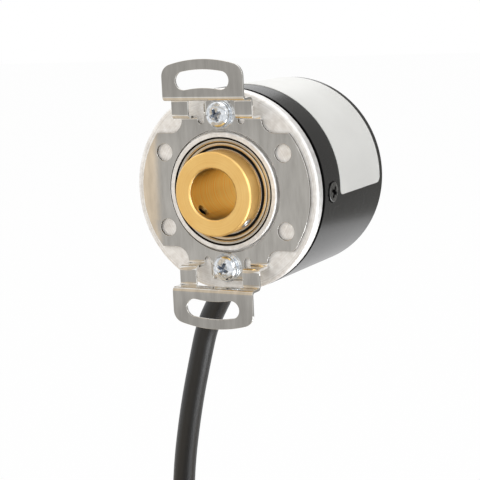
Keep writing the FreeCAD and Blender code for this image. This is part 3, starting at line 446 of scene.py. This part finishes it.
# A finish: two tones, the range of roughness, how metallic, blotches and grain per metre, the bump's height in mm.
# Some have more: rings per metre on turned metal, a stretched pattern on brushed metal, painted shade in a groove or
# a bore painted paler as painted light between reaches from the axis in mm, a share of wear on the edges, or a
# specular level other than 0.5.
finishes = {
    "stainless": dict(tones=((210, 208, 204), (232, 230, 226)), rough=(0.02, 0.035), metal=1.0,
                      blotches=140, grain=2600, bump=0.0003, stretch=(5, 1, 1)),
    # painted shade for the bracket's cut walls and hole walls
    "paintedCutWallShade": dict(tones=((70, 66, 60), (104, 99, 90)), rough=(0.4, 0.55), metal=1.0,
                        blotches=600, grain=5000, bump=0.004),
    "zinc": dict(tones=((184, 190, 198), (240, 243, 245)), rough=(0.06, 0.14), metal=1.0,
                 blotches=1500, grain=5000, bump=0.008, wear=0.6),
    # the flange's dark ring is painted shade in the gap by the bearing's outer ring
    "flangeAluminium": dict(tones=((214, 211, 207), (255, 255, 255)), rough=(0.42, 0.58), metal=1.0,
                            blotches=900, grain=5000, bump=0.003, rings=5200,
                            groove=dict(low=10.45, high=10.68, tone=(52, 46, 40))),
    # the bearing ring's dark ring is painted shade where it meets the boss
    "bearingSteel": dict(tones=((204, 198, 188), (230, 225, 216)), rough=(0.16, 0.28), metal=1.0,
                         blotches=300, grain=5000, bump=0.002, rings=6000,
                         groove=dict(low=10.3, high=10.6, tone=(70, 62, 52))),
    # the shield's dark ring is painted shade in the groove beside the crimp
    "shieldSteel": dict(tones=((196, 184, 166), (226, 214, 194)), rough=(0.26, 0.36), metal=1.0,
                        blotches=300, grain=4000, bump=0.003, rings=4000,
                        groove=dict(low=9.52, high=9.68, tone=(26, 22, 18))),
    "screwSteel": dict(tones=((176, 178, 180), (206, 208, 210)), rough=(0.22, 0.34), metal=1.0,
                       blotches=700, grain=5000, bump=0.003, wear=0.6),
    "steelPlate": dict(tones=((150, 150, 148), (182, 182, 180)), rough=(0.25, 0.4), metal=1.0,
                       blotches=300, grain=3500, bump=0.003),
    # the bore's paler tones are painted light
    "brass": dict(tones=((242, 197, 120), (255, 219, 146)), rough=(0.34, 0.46), metal=1.0,
                  blotches=220, grain=5000, bump=0.003, rings=4200,
                  inside=dict(reach=5.02, tones=((255, 222, 160), (255, 244, 206)), rings=2600, rough=0.3)),
    "coverBlack": dict(tones=((20, 20, 20), (26, 26, 26)), rough=(0.2, 0.28), metal=0.0,
                       blotches=160, grain=6000, bump=0.003, specular=0.6),
    # painted sheen: the cover's front corner is a little paler than the cover
    "coverLipSheen": dict(tones=((26, 26, 26), (40, 39, 38)), rough=(0.2, 0.3), metal=0.0,
                     blotches=900, grain=6000, bump=0.003, specular=1.0),
    "blackScrews": dict(tones=((44, 44, 43), (74, 73, 70)), rough=(0.2, 0.3), metal=0.0,
                        blotches=1400, grain=5000, bump=0.006, specular=0.8),
    # painted shade: black for recesses, gaps and hole ends that lie in shade
    "paintedShadeBlack": dict(tones=((4, 4, 4), (9, 9, 9)), rough=(0.7, 0.8), metal=0.0,
                        blotches=900, grain=5000, bump=0.004, specular=0.05),
    # painted shade for the bracket screws' cross recess
    "paintedShadeZinc": dict(tones=((136, 142, 152), (200, 206, 214)), rough=(0.12, 0.2), metal=1.0,
                       blotches=1200, grain=5000, bump=0.006),
    "blackPlastic": dict(tones=((30, 30, 31), (40, 40, 41)), rough=(0.42, 0.56), metal=0.0,
                         blotches=300, grain=3500, bump=0.008, wear=0.6),
    "whitePlastic": dict(tones=((222, 219, 208), (234, 231, 222)), rough=(0.4, 0.52), metal=0.0,
                         blotches=400, grain=3500, bump=0.004),
    "blackRubber": dict(tones=((10, 9, 8), (16, 15, 14)), rough=(0.66, 0.8), metal=0.0,
                        blotches=300, grain=4200, bump=0.01, wear=0.6, specular=0.25),
    "sheath": dict(tones=((17, 17, 17), (24, 24, 24)), rough=(0.3, 0.42), metal=0.0,
                   blotches=140, grain=3200, bump=0.008, wear=0.6),
    "labelSilver": dict(tones=((236, 236, 233), (246, 246, 243)), rough=(0.34, 0.44), metal=0.2,
                        blotches=60, grain=5200, bump=0.002),
    "copper": dict(tones=((196, 110, 70), (222, 142, 98)), rough=(0.25, 0.4), metal=1.0,
                   blotches=900, grain=6000, bump=0.006),
    "boardGreen": dict(tones=((22, 84, 48), (32, 106, 62)), rough=(0.3, 0.42), metal=0.0,
                       blotches=420, grain=3600, bump=0.004),
    "chipBlack": dict(tones=((28, 28, 30), (40, 40, 42)), rough=(0.5, 0.62), metal=0.0,
                      blotches=700, grain=5200, bump=0.004),
    "capacitorSleeve": dict(tones=((40, 42, 56), (56, 58, 72)), rough=(0.3, 0.4), metal=0.0,
                            blotches=600, grain=4200, bump=0.003),
    "lensClear": dict(tones=((206, 214, 218), (222, 228, 232)), rough=(0.08, 0.14), metal=0.0,
                      blotches=600, grain=4200, bump=0.001),
}


def makeFinish(name, spec):
    material, tree, shader, place = startMaterial(name, spec["metal"])
    at = place
    if "stretch" in spec:
        at = addNode(tree, "ShaderNodeMapping", Vector=place, Scale=spec["stretch"]).outputs[0]
    texture = useGroup(tree, "blotches", Vector=at, Blotches=spec["blotches"], Grain=spec["grain"])
    height = texture.outputs["Grain"]
    toneMask = scaled(tree, texture.outputs["Blotch"], 0, 1)
    if "rings" in spec:
        marks = useGroup(tree, "turning", Vector=place, Rings=spec["rings"]).outputs["Marks"]
        height = maths(tree, "ADD", marks, maths(tree, "MULTIPLY", height, marking["grainShare"]))
        toneMask = maths(tree, "MULTIPLY", maths(tree, "ADD", toneMask, scaled(tree, marks, 0, 1)), 0.5)
    low, high = (tone(*t) for t in spec["tones"])
    colour = mixed(tree, toneMask, low, high)
    roughness = scaled(tree, height, *spec["rough"])
    if "groove" in spec:
        # painted shade: a dark ring in the colour, where a groove or gap lies in shade
        reach = useGroup(tree, "reach", Vector=place).outputs["Reach"]
        above = maths(tree, "GREATER_THAN", reach, spec["groove"]["low"] * mm)
        within = maths(tree, "MULTIPLY", above, maths(tree, "LESS_THAN", reach, spec["groove"]["high"] * mm))
        colour = mixed(tree, within, colour, tone(*spec["groove"]["tone"]))
    if "inside" in spec:
        # painted light: the bore is painted paler than the outside, with coarse turning rings
        reach = useGroup(tree, "reach", Vector=place).outputs["Reach"]
        within = maths(tree, "LESS_THAN", reach, spec["inside"]["reach"] * mm)
        coarse = useGroup(tree, "turning", Vector=place, Rings=spec["inside"]["rings"]).outputs["Marks"]
        bore = scaled(tree, coarse, 0, 1, *marking["boreRange"])
        colour = mixed(tree, within, colour, mixed(tree, bore, *(tone(*t) for t in spec["inside"]["tones"])))
        roughness = scaled(tree, within, roughness, spec["inside"]["rough"], 0, 1)
    shader.inputs["Specular IOR Level"].default_value = spec.get("specular", 0.5)
    if "wear" in spec:
        worn = useGroup(tree, "wear", Sharpness=marking["wearSharpness"]).outputs["Wear"]
        rubbed = tuple(min(1, c * marking["wornShare"] + marking["wornLift"]) for c in high[:3]) + (1,)
        colour = mixed(tree, maths(tree, "MULTIPLY", worn, spec["wear"]), colour, rubbed)
    tree.links.new(colour, shader.inputs["Base Color"])
    tree.links.new(roughness, shader.inputs["Roughness"])
    bump = addNode(tree, "ShaderNodeBump", Strength=1.0, Distance=spec["bump"] * mm, Height=height)
    tree.links.new(bump.outputs[0], shader.inputs["Normal"])
    return material


materials = {name: makeFinish(name, spec) for name, spec in finishes.items()}

# Which finish each CAD node takes
nodeFinishes = {
    "stainless": ["leaf_bracket"],
    "zinc": ["bracket_screws", "bracket_washers", "disc_screws", "board_screws", "board_standoffs"],
    "flangeAluminium": ["mounting_flange", "disc_hub", "disc_clamp_ring"],
    "bearingSteel": ["front_bearing_outer_ring", "front_bearing_inner_ring", "front_bearing_balls",
                     "rear_bearing_outer_ring", "rear_bearing_inner_ring", "rear_bearing_balls", "bearing_spacer"],
    "shieldSteel": ["front_bearing_shields", "rear_bearing_shields", "front_bearing_cage", "rear_bearing_cage"],
    "steelPlate": ["spring_washer", "retaining_ring", "cable_ferrule", "code_disc", "mask_plate"],
    "screwSteel": ["shaft_set_screws"],
    "brass": ["hollow_shaft"],
    "coverBlack": ["rear_cover"],
    "blackScrews": ["cover_screws"],
    "blackPlastic": ["led_holder", "sensor_holder", "cable_tie"],
    "whitePlastic": ["wire_connector", "inner_wires"],
    "blackRubber": ["front_bearing_seals", "rear_bearing_seals", "cover_gasket", "cable_grommet"],
    "sheath": ["cable_tube", "cable_coil", "cable_leads"],
    "labelSilver": ["nameplate_label"],
    "copper": ["lead_cores"],
    "boardGreen": ["circuit_board"],
    "chipBlack": ["board_chips", "photo_sensor"],
    "capacitorSleeve": ["board_capacitors"],
    "lensClear": ["led", "led_lens"],
}


def dressNodes():
    for finish, names in nodeFinishes.items():
        for name in names:
            nodes[name].data.materials.clear()
            nodes[name].data.materials.append(materials[finish])
    bare = set(nodes) - {name for names in nodeFinishes.values() for name in names}
    print("nodes without a finish:", sorted(bare))


# Screws: turned heads, a cross recess cut into each, and a thread below. Heights are from the head's seat.

screws = {
    "bracketScrew": {
        "profile": [(1.35, -0.25), (1.35, 0), (2.36, 0), (2.5, 0.14), (2.5, 0.72), (2.43, 0.98), (2.26, 1.22),
                    (1.98, 1.43), (1.6, 1.6), (1.1, 1.73), (0.55, 1.79), (0, 1.8)],
        "thread": dict(outer=1.5, root=1.3, pitch=0.5, end=-6.0),
        "recess": dict(reach=1.5, half=0.4, foot=0.7, top=2.2),
        "painted": dict(low=0.05, high=1.55, side=0),
        "soften": 0.05,
        # name, place, the way out, turn of the cross
        "places": [("Top", (0, 4.25, 15.03), (0, -1, 0), 20), ("Bottom", (0, 4.25, -15.03), (0, -1, 0), -28)],
        "node": "bracket_screws", "body": "housing", "slot": "zinc",
        "finish": "zinc", "recessShadeFinish": "paintedShadeZinc",
    },
    "coverScrew": {
        "profile": [(0.88, -0.2), (0.88, 0), (1.85, 0), (1.95, 0.1), (1.95, 1.14), (1.88, 1.2), (1.6, 1.25),
                    (1.2, 1.29), (0.6, 1.31), (0, 1.31)],
        "thread": dict(outer=1.0, root=0.86, pitch=0.4, end=-4.0),
        "recess": dict(reach=1.35, half=0.4, foot=0.45, top=1.6),
        "painted": dict(low=0.05, high=1.22, side=1.12),
        "soften": 0.03,
        "places": [("Side", *roundAxis(19, 11.9, -2), -26), ("Upper", *roundAxis(19, 11.9, 118), 50),
                   ("Lower", *roundAxis(19, 11.9, 238), 75)],
        "node": "cover_screws", "body": "housing", "slot": "black_screws",
        "finish": "blackScrews", "recessShadeFinish": "paintedShadeBlack",
    },
}
thread = {
    "tipShare": 0.8,  # of the root's radius
    "tipHeight": 0.25,
    "firstRidge": 0.35,
    "ridge": (0.4, 0.55, 0.95),  # where a ridge is up, starts down and is down, in pitches
    "runOut": 1.6,  # pitches left plain below the seat
}
crossTaper = 0.5  # the recess is narrower at its foot


def threadProfile(outer, root, pitch, end):
    # from the tip up: a chamfered point and one ridge for each pitch
    up, over, down = (pitch * share for share in thread["ridge"])
    points = [(0, end), (root * thread["tipShare"], end), (root, end + thread["tipHeight"])]
    z = end + thread["firstRidge"]
    while z < -pitch * thread["runOut"]:
        points += [(root, z), (outer, z + up), (outer, z + over), (root, z + down)]
        z += pitch
    return points


def crossCutter(reach, half, foot, top):
    # a square peg with four arms drawn out of its sides
    cutter = newBox("crossCutter", (0, 0, (foot + top) / 2), (2 * half, 2 * half, top - foot))
    editMode("FACE")
    for way in ((1, 0, 0), (-1, 0, 0), (0, 1, 0), (0, -1, 0)):
        side = Vector(way)

        def onSide(centre, normal):
            offset = Vector((centre.x, centre.y, 0)) - side * half
            return normal.dot(side) > facing and offset.length < half / 4

        selectFaces(cutter, onSide)
        bpy.ops.mesh.extrude_region_move(TRANSFORM_OT_translate={"value": side * (reach - half) * mm})
    selectFaces(cutter, lambda centre, normal: normal.z < -facing)
    bpy.ops.transform.resize(value=(crossTaper, crossTaper, 1), center_override=(0, 0, foot * mm))
    bpy.ops.object.mode_set(mode="OBJECT")
    return cutter


def inRecess(offset, along, spec):
    # a face of the recess, or of the head's side, which takes painted shade
    height = offset.dot(along)
    painted = spec["painted"]
    inside = painted["low"] < height < painted["high"]
    near = (offset - along * height).length < spec["recess"]["reach"]
    return (inside and near) or height < painted["side"]


def makeScrews(name):
    spec = screws[name]
    model = turnedPiece(name, threadProfile(**spec["thread"]) + spec["profile"], steps=48)
    cutAway(model, crossCutter(**spec["recess"]))
    softenEdges(model, spec["soften"], angle=40)
    for place, at, along, turn in spec["places"]:
        screw = copyOf(model, name + place)
        standAt(screw, at, along, turn)
        finishPiece(screw, spec["body"], materials[spec["finish"]], spec["slot"], spec["node"])
        # the recess and the head's side take painted shade
        paintFaces(screw, materials[spec["recessShadeFinish"]],
                   lambda centre, normal: inRecess(centre - Vector(at), Vector(along), spec))
    bpy.data.objects.remove(model)


# Set screws: a cup point, a hexagon socket, and the threaded end painted dark as shade in its hole

setScrews = {
    "profile": [(0, -2.76), (0.5, -2.76), (0.6, -2.86), (0.85, -2.86), (1.24, -2.46), (1.24, -0.2), (1.04, 0),
                (0, 0)],
    "socket": dict(radius=0.74, depth=1.25),
    "soften": 0.04,
    "topReach": 8.3,
    "paintedShadeReach": 5.94,  # faces nearer to the axis than this take painted shade
    "placeY": 2.45,
    "turn": 15,
    "places": [("Right", -45), ("Left", -135)],
}


def makeSetScrews():
    model = turnedPiece("setScrew", setScrews["profile"], steps=48)
    socket = setScrews["socket"]
    bpy.ops.object.select_all(action="DESELECT")
    bpy.ops.mesh.primitive_cylinder_add(vertices=6, radius=socket["radius"] * mm, depth=2 * socket["depth"] * mm)
    cutAway(model, bpy.context.active_object)
    softenEdges(model, setScrews["soften"], angle=30)
    for place, angle in setScrews["places"]:
        screw = copyOf(model, "setScrew" + place)
        at, out = roundAxis(setScrews["topReach"], setScrews["placeY"], angle)
        standAt(screw, at, out, setScrews["turn"])
        finishPiece(screw, "shaft", materials["screwSteel"], "black_screws", "shaft_set_screws")
        # the screw's end in its hole takes painted shade
        paintFaces(screw, materials["paintedShadeBlack"], lambda centre, normal: centre.dot(out) < setScrews["paintedShadeReach"])
    bpy.data.objects.remove(model)


# Bearing covers: a pressed shield crimped into the outer ring, with a rubber lip inside it

bearingCovers = {
    "shield": [(8.95, 0.03), (8.95, 0.2), (9.0, 0.25), (9.42, 0.25), (9.5, 0.2), (9.55, 0.1), (9.63, 0.1),
               (9.69, 0.2), (9.75, 0.32), (9.83, 0.35), (9.89, 0.3), (9.89, 0.0), (8.98, 0.0), (8.95, 0.03)],
    "seal": [(8.94, 0.0), (8.94, 0.2), (8.88, 0.24), (8.78, 0.22), (8.71, 0.13), (8.64, 0.12), (8.59, 0.2),
             (8.54, 0.23), (8.5, 0.19), (8.52, 0.08), (8.6, 0.0), (8.94, 0.0)],
    # name, place along the axis, the way it faces, bearing
    "places": [("frontBearingFront", 4.65, -1, "front_bearing"), ("frontBearingBack", 7.75, 1, "front_bearing"),
               ("rearBearingFront", 12.65, -1, "rear_bearing"), ("rearBearingBack", 15.75, 1, "rear_bearing")],
}


def makeBearingCovers():
    for kind, material, slot in (("Shield", "shieldSteel", "bearing_steel"), ("Seal", "blackRubber", "black_rubber")):
        model = turnedPiece("cover" + kind, bearingCovers[kind.lower()], steps=120)
        smoothFaces(model, angle=50)
        for place, y, way, bearing in bearingCovers["places"]:
            piece = copyOf(model, place + kind)
            standAt(piece, (0, y, 0), (0, way, 0))
            finishPiece(piece, "housing", materials[material], slot, bearing + "_" + kind.lower() + "s")
        bpy.data.objects.remove(model)


# Grommet: a ribbed rubber bush that grips the cover's wall

grommet = {
    "angle": 240,
    "planeY": 29.4,
    "wall": (18.48, 20.02),  # reaches of the cover's wall
    "wallEnds": (20, 39),
    "holeRadius": 3.44,
    "holeEnds": (10, 30),
    "profile": [(2.52, 17.42), (4.4, 17.42), (4.58, 17.6), (4.58, 18.9), (4.2, 19.3), (4.2, 20.9), (4.08, 21.1),
                (3.62, 21.25), (3.6, 21.75), (3.98, 21.95), (3.9, 22.65), (3.46, 22.85), (3.44, 23.35),
                (3.74, 23.55), (3.64, 24.25), (3.3, 24.45), (3.28, 24.95), (3.46, 25.15), (3.36, 25.8),
                (3.1, 26.0), (2.8, 26.02), (2.53, 25.7), (2.52, 17.42)],
}


def makeGrommet():
    at, out = roundAxis(0, grommet["planeY"], grommet["angle"])
    inner, outer = grommet["wall"]
    near, far = grommet["wallEnds"]
    low, high = grommet["holeEnds"]
    radius = grommet["holeRadius"]
    bush = turnedPiece("cableGrommet", grommet["profile"], steps=64)
    standAt(bush, at, out)
    wall = turnedPiece("wall", [(inner, near), (outer, near), (outer, far), (inner, far), (inner, near)], steps=160)
    standAt(wall, (0, 0, 0), (0, 1, 0))
    hole = turnedPiece("hole", [(0, low), (radius, low), (radius, high), (0, high)], steps=64)
    standAt(hole, at, out)
    cutAway(wall, hole)
    cutAway(bush, wall)
    softenEdges(bush, width=0.08, angle=38)
    finishPiece(bush, "housing", materials["blackRubber"], "black_rubber", "cable_grommet")


# The cable's end inside the cover, where the sheath stops and the wires leave

cableEnd = {
    "angle": 240,
    "planeY": 29.4,
    "profile": [(0, 12.75), (1.75, 12.75), (1.95, 12.62), (2.1, 12.52), (2.4, 12.5), (2.5, 12.6), (2.5, 16.99),
                (0, 16.99)],
}


def makeCableEnd():
    piece = turnedPiece("cableInnerEnd", cableEnd["profile"], steps=48)
    standAt(piece, *roundAxis(0, cableEnd["planeY"], cableEnd["angle"]))
    smoothFaces(piece, angle=40)
    finishPiece(piece, "housing", materials["sheath"], "cable_sheath", "cable_tube")


# Cable tie: a strap round the coil, its toothed tail through a head and cut off

cableTie = {
    "angle": 320,
    "innerReach": 17.3,
    "outerReach": 37.7,
    "bottom": -112.3,
    "top": -96.9,
    "corner": 2.3,
    "width": 4.8,
    "thickness": 0.75,
    "soften": 0.12,
    "headSize": (3.9, 6.4, 5.6),
    "headHeight": -104.0,
    "headSunk": 0.35,  # into the strap
    "headWall": 0.7,
    "headSlot": 1.2,
    "headRim": 0.9,
    "headRaised": 0.3,
    "tailLength": 6.5,
    "tailSunk": 0.3,
    "tailNarrower": 0.6,  # than the strap
    "tailSoften": 0.05,
    "toothPitch": 0.8,
    "toothRim": 0.05,
    "toothDepth": 0.2,
}


def makeStrap(inner, outer, wide, thick):
    low, high = cableTie["bottom"], cableTie["top"]
    bpy.ops.object.select_all(action="DESELECT")
    bpy.ops.mesh.primitive_plane_add(size=1)
    strap = bpy.context.active_object
    strap.name = "tieStrap"
    strap.scale = ((outer - inner) * mm, (high - low) * mm, 1)
    settle(strap)
    editMode("VERT")
    bpy.ops.mesh.select_all(action="SELECT")
    bpy.ops.mesh.bevel(offset=cableTie["corner"] * mm, segments=8, affect="VERTICES")
    bpy.ops.mesh.select_all(action="SELECT")
    bpy.ops.mesh.delete(type="ONLY_FACE")
    bpy.ops.mesh.select_all(action="SELECT")
    bpy.ops.mesh.extrude_edges_move(TRANSFORM_OT_translate={"value": (0, 0, wide * mm)})
    bpy.ops.mesh.select_all(action="SELECT")
    bpy.ops.transform.translate(value=(0, 0, -wide / 2 * mm))
    bpy.ops.mesh.normals_make_consistent(inside=False)
    bpy.ops.object.mode_set(mode="OBJECT")
    applyModifier(strap, "SOLIDIFY", thickness=thick * mm, offset=1)
    upright = Matrix.Rotation(radians(90), 4, "X")
    strap.matrix_world = Matrix.Translation(((inner + outer) / 2 * mm, 0, (low + high) / 2 * mm)) @ upright
    settle(strap)
    return strap


def makeTieHead(strapReach):
    size = cableTie["headSize"]
    head = newBox("tieHead", (strapReach + size[0] / 2 - cableTie["headSunk"], 0, cableTie["headHeight"]), size)
    editMode("FACE")
    selectFaces(head, lambda centre, normal: normal.z > facing)
    bpy.ops.mesh.inset(thickness=cableTie["headWall"] * mm)
    bpy.ops.mesh.extrude_region_move(TRANSFORM_OT_translate={"value": (0, 0, -cableTie["headSlot"] * mm)})
    selectFaces(head, lambda centre, normal: normal.x > facing)
    bpy.ops.mesh.inset(thickness=cableTie["headRim"] * mm)
    bpy.ops.mesh.extrude_region_move(TRANSFORM_OT_translate={"value": (cableTie["headRaised"] * mm, 0, 0)})
    bpy.ops.object.mode_set(mode="OBJECT")
    return head


def makeTieTail(strapReach, wide, thick):
    deep, across, tall = cableTie["headSize"]
    foot = cableTie["headHeight"]
    length = tall / 2 + cableTie["tailLength"]
    tail = newBox("tieTail", (strapReach + deep / 2 - cableTie["tailSunk"], 0, foot + length / 2),
                  (thick, wide - cableTie["tailNarrower"], length))
    editMode("FACE")
    bands = 2 * int(length / cableTie["toothPitch"])
    band = length / bands
    for i in range(1, bands):
        bpy.ops.mesh.select_all(action="SELECT")
        bpy.ops.mesh.bisect(plane_co=(0, 0, (foot + i * band) * mm), plane_no=(0, 0, 1))
    selectFaces(tail, lambda centre, normal: normal.x < -facing and int((centre.z - foot) / band) % 2 == 0)
    bpy.ops.mesh.inset(thickness=cableTie["toothRim"] * mm, depth=0)
    bpy.ops.transform.translate(value=(-cableTie["toothDepth"] * mm, 0, 0))
    bpy.ops.object.mode_set(mode="OBJECT")
    return tail


def makeCableTie():
    inner, outer, wide, thick = (cableTie[k] for k in ("innerReach", "outerReach", "width", "thickness"))
    strap = makeStrap(inner, outer, wide, thick)
    head = makeTieHead(outer + thick)
    tail = makeTieTail(outer + thick, wide, thick)
    middleX, middleY = cable["coilMiddle"]
    toCoil = Matrix.Translation((middleX * mm, middleY * mm, 0))
    turn = toCoil @ Matrix.Rotation(radians(cableTie["angle"]), 4, "Z")
    for piece in (strap, head, tail):
        piece.matrix_world = turn @ piece.matrix_world
        settle(piece)
        softenEdges(piece, cableTie["tailSoften" if piece is tail else "soften"], angle=30)
        finishPiece(piece, "housing", materials["blackPlastic"], "black_plastic", "cable_tie")
    return [strap, head, tail]


# Studio: pale floor, white behind, soft lamps, and cards that only glossy faces mirror

studio = {
    "floorHeight": -113.1,
    "floorSize": 6.0,
    "floorTone": (236, 236, 236),
    "floorRoughness": 0.8,
    "floorShare": 0.97,  # how much of the floor is plain white to the camera
    "white": 1.0,
    "ambient": 0.6,
    # name, place, size, power
    "lamps": [
        ("keyLamp", (-0.55, -0.75, 0.75), 0.7, 4.5),
        ("fillLamp", (0.9, -0.45, 0.35), 0.6, 2.2),
        ("topLamp", (0.1, 0.35, 0.95), 0.8, 2.5),
    ],
    # edge is where the first tone gives way to the second, and ends is how much the card darkens there
    "cards": [
        dict(name="frontCard", place=(-0.163, -0.305, -0.058), faced=(0, 0, 0), size=(0.24, 0.2),
             tones=((192, 190, 187), (236, 220, 198)), edge=0.145, ends=0.2, glow=1.0),
        dict(name="backCard", place=(0.11, 0.22, 0.03), faced=(0, 0, 0), size=(0.36, 0.3),
             tones=((158, 157, 154),) * 2, edge=0.0, ends=0.0, glow=1.0),
        dict(name="lowCard", place=(-0.06, -0.04, -0.11), faced=(-0.06, -0.04, 0), size=(0.24, 0.26),
             tones=((222, 208, 188),) * 2, edge=0.0, ends=0.0, glow=1.0),
        dict(name="highCard", place=(-0.152, -0.195, 0.203), faced=(0, 0, 0), size=(0.24, 0.5),
             tones=((222, 208, 188),) * 2, edge=0.0, ends=0.0, glow=1.0),
        dict(name="cableCard", place=(0.078, 0.019, -0.079), faced=(-0.024, 0.029, -0.079), size=(0.08, 0.066),
             tones=((250, 252, 255),) * 2, edge=0.0, ends=0.0, glow=7.0),
    ],
    # in shares of a card: half the width of the edge, the height that stays brightest, and where its ends darken
    "cardEdge": 0.004,
    "cardMiddle": 0.03,
    "cardEnds": (0.12, 0.22),
}


def seenDirectly(tree):
    path = addNode(tree, "ShaderNodeLightPath")
    either = maths(tree, "MAXIMUM", path.outputs["Is Camera Ray"], path.outputs["Is Glossy Ray"])
    return maths(tree, "MAXIMUM", either, path.outputs["Is Transmission Ray"])


def makeFloor():
    bpy.ops.object.select_all(action="DESELECT")
    bpy.ops.mesh.primitive_plane_add(size=studio["floorSize"], location=(0, 0, studio["floorHeight"] * mm))
    floor = bpy.context.active_object
    floor.name = "studioFloor"
    material, tree = newMaterial("paleFloor")
    shader = tree.nodes["Principled BSDF"]
    shader.inputs["Base Color"].default_value = tone(*studio["floorTone"])
    shader.inputs["Roughness"].default_value = studio["floorRoughness"]
    glow = addNode(tree, "ShaderNodeEmission", Strength=studio["white"])
    share = maths(tree, "MULTIPLY", seenDirectly(tree), studio["floorShare"])
    both = addNode(tree, "ShaderNodeMixShader", i0=share, i1=shader.outputs[0], i2=glow.outputs[0])
    tree.links.new(both.outputs[0], tree.nodes["Material Output"].inputs["Surface"])
    floor.data.materials.append(material)


def makeCard(name, place, faced, size, tones, edge, ends, glow):
    bpy.ops.object.select_all(action="DESELECT")
    bpy.ops.mesh.primitive_plane_add(size=1, location=place)
    card = bpy.context.active_object
    card.name = name
    card.scale = size + (1,)
    card.rotation_euler = (Vector(faced) - Vector(place)).to_track_quat("Z", "Y").to_euler()
    card.visible_camera = card.visible_diffuse = card.visible_shadow = card.visible_transmission = False
    material, tree = newMaterial(name + "Tones")
    tree.nodes.clear()
    parts = addNode(tree, "ShaderNodeSeparateXYZ", Vector=addNode(tree, "ShaderNodeTexCoord").outputs["Object"])
    soft = studio["cardEdge"]
    beyond = scaled(tree, parts.outputs["X"], 0, 1, edge - soft, edge + soft)
    colour = mixed(tree, beyond, *(tone(*t) for t in tones))
    away = maths(tree, "ABSOLUTE", maths(tree, "SUBTRACT", parts.outputs["Y"], studio["cardMiddle"]))
    colour = mixed(tree, scaled(tree, away, 0, ends, *studio["cardEnds"]), colour, (0, 0, 0, 1))
    shining = addNode(tree, "ShaderNodeEmission", Color=colour, Strength=glow)
    addNode(tree, "ShaderNodeOutputMaterial", Surface=shining.outputs[0])
    card.data.materials.append(material)


def makeStudio():
    makeFloor()
    for card in studio["cards"]:
        makeCard(**card)
    world = bpy.context.scene.world or bpy.data.worlds.new("studioWorld")
    bpy.context.scene.world = world
    world.use_nodes = True
    tree = world.node_tree
    tree.nodes.clear()
    ambient = addNode(tree, "ShaderNodeBackground", Color=(1, 1, 1, 1), Strength=studio["ambient"])
    white = addNode(tree, "ShaderNodeBackground", Color=(1, 1, 1, 1), Strength=studio["white"])
    both = addNode(tree, "ShaderNodeMixShader", i0=seenDirectly(tree), i1=ambient.outputs[0], i2=white.outputs[0])
    addNode(tree, "ShaderNodeOutputWorld", Surface=both.outputs[0])

    for name, place, size, power in studio["lamps"]:
        data = bpy.data.lights.new(name, "AREA")
        data.shape = "SQUARE"
        data.size = size
        data.energy = power
        lamp = linked(name, data)
        lamp.location = place
        lamp.rotation_euler = (-Vector(place)).to_track_quat("-Z", "Y").to_euler()
    bpy.context.scene.view_settings.view_transform = "Standard"


# CAD pieces with broken edges, and their faces that take a second finish

secondFinish = {
    "cutWall": (4.8, 5.2),  # along the axis, in the thickness of the bracket's plate
    "cutWallTurn": 0.3,
    "coverFace": 8.4,
    "coverLipSheen": 8.6,
    "faceTurn": -0.6,
    "lipTurn": -0.1,
}


def onCutWall(centre, normal):
    # where the press cut through the bracket's plate; these walls take painted shade
    near, far = secondFinish["cutWall"]
    return near < centre.y < far and abs(normal.y) < secondFinish["cutWallTurn"]


def onFrontFace(centre, normal):
    # the cover's edge against the gasket, which no light reaches
    return centre.y < secondFinish["coverFace"] and normal.y < secondFinish["faceTurn"]


def onFrontLip(centre, normal):
    # the cover's front corner, a little paler than the cover as a painted sheen, and more specular
    return centre.y < secondFinish["coverLipSheen"] and secondFinish["faceTurn"] <= normal.y < secondFinish["lipTurn"]


# node, new name, width of the broken edge, body, finish, slot, second finishes
edged = [
    # the bracket's cut walls take painted shade
    ("leaf_bracket", "leafBracket", 0.07, "housing", "stainless", "stainless", [("paintedCutWallShade", onCutWall)]),
    ("bracket_washers", "screwWashers", 0.08, "housing", "zinc", "zinc", []),
    ("mounting_flange", "flange", 0.08, "housing", "flangeAluminium", "flange_aluminium", []),
    ("hollow_shaft", "brassShaft", 0.05, "shaft", "brass", "brass", []),
    # the cover's front face takes painted shade, black
    ("rear_cover", "blackCover", 0.3, "housing", "coverBlack", "cover_black",
     [("paintedShadeBlack", onFrontFace), ("coverLipSheen", onFrontLip)]),
    ("nameplate_label", "bareLabel", 0.03, "housing", "labelSilver", "label_silver", []),
    ("front_bearing_outer_ring", "frontOuterRing", 0.05, "housing", "bearingSteel", "bearing_steel", []),
    ("front_bearing_inner_ring", "frontInnerRing", 0.05, "shaft", "bearingSteel", "bearing_steel", []),
    ("retaining_ring", "retainingRing", 0.06, "shaft", "steelPlate", "steel_plate", []),
]


# Building

makeCamera()
line = cableLine()
sheathed = splineCurve("cable", line, cable["radius"])
sheathed.data.materials.append(materials["sheath"])
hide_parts("cable_tube", "cable_coil")
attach(sheathed, "housing")
onCable = makeCableTie()
for i, (name, shade) in enumerate(leads["colours"]):
    lead = splineCurve("lead" + name, leadLine(i, line[-1]), leads["radius"])
    tones = (shade, tuple(min(255, c + leads["paler"]) for c in shade))
    finish = makeFinish("insulation" + name, dict(leads["finish"], tones=tones))
    finishPiece(lead, "housing", finish, "lead_insulation", "cable_leads")
    onCable.append(lead)
print("cable, leads and tie laid")

makeScrews("bracketScrew")
makeScrews("coverScrew")
makeSetScrews()
makeBearingCovers()
makeGrommet()
makeCableEnd()
print("screws, bearing covers and grommet made")

dressNodes()
print("finishes on the CAD nodes")

for node, name, width, body, finish, slot, seconds in edged:
    piece = edgedCopy(node, name, width, body, materials[finish], slot)
    for second, test in seconds:
        paintFaces(piece, materials[second], test)
print("edges broken")

makeStudio()
print("studio lit")
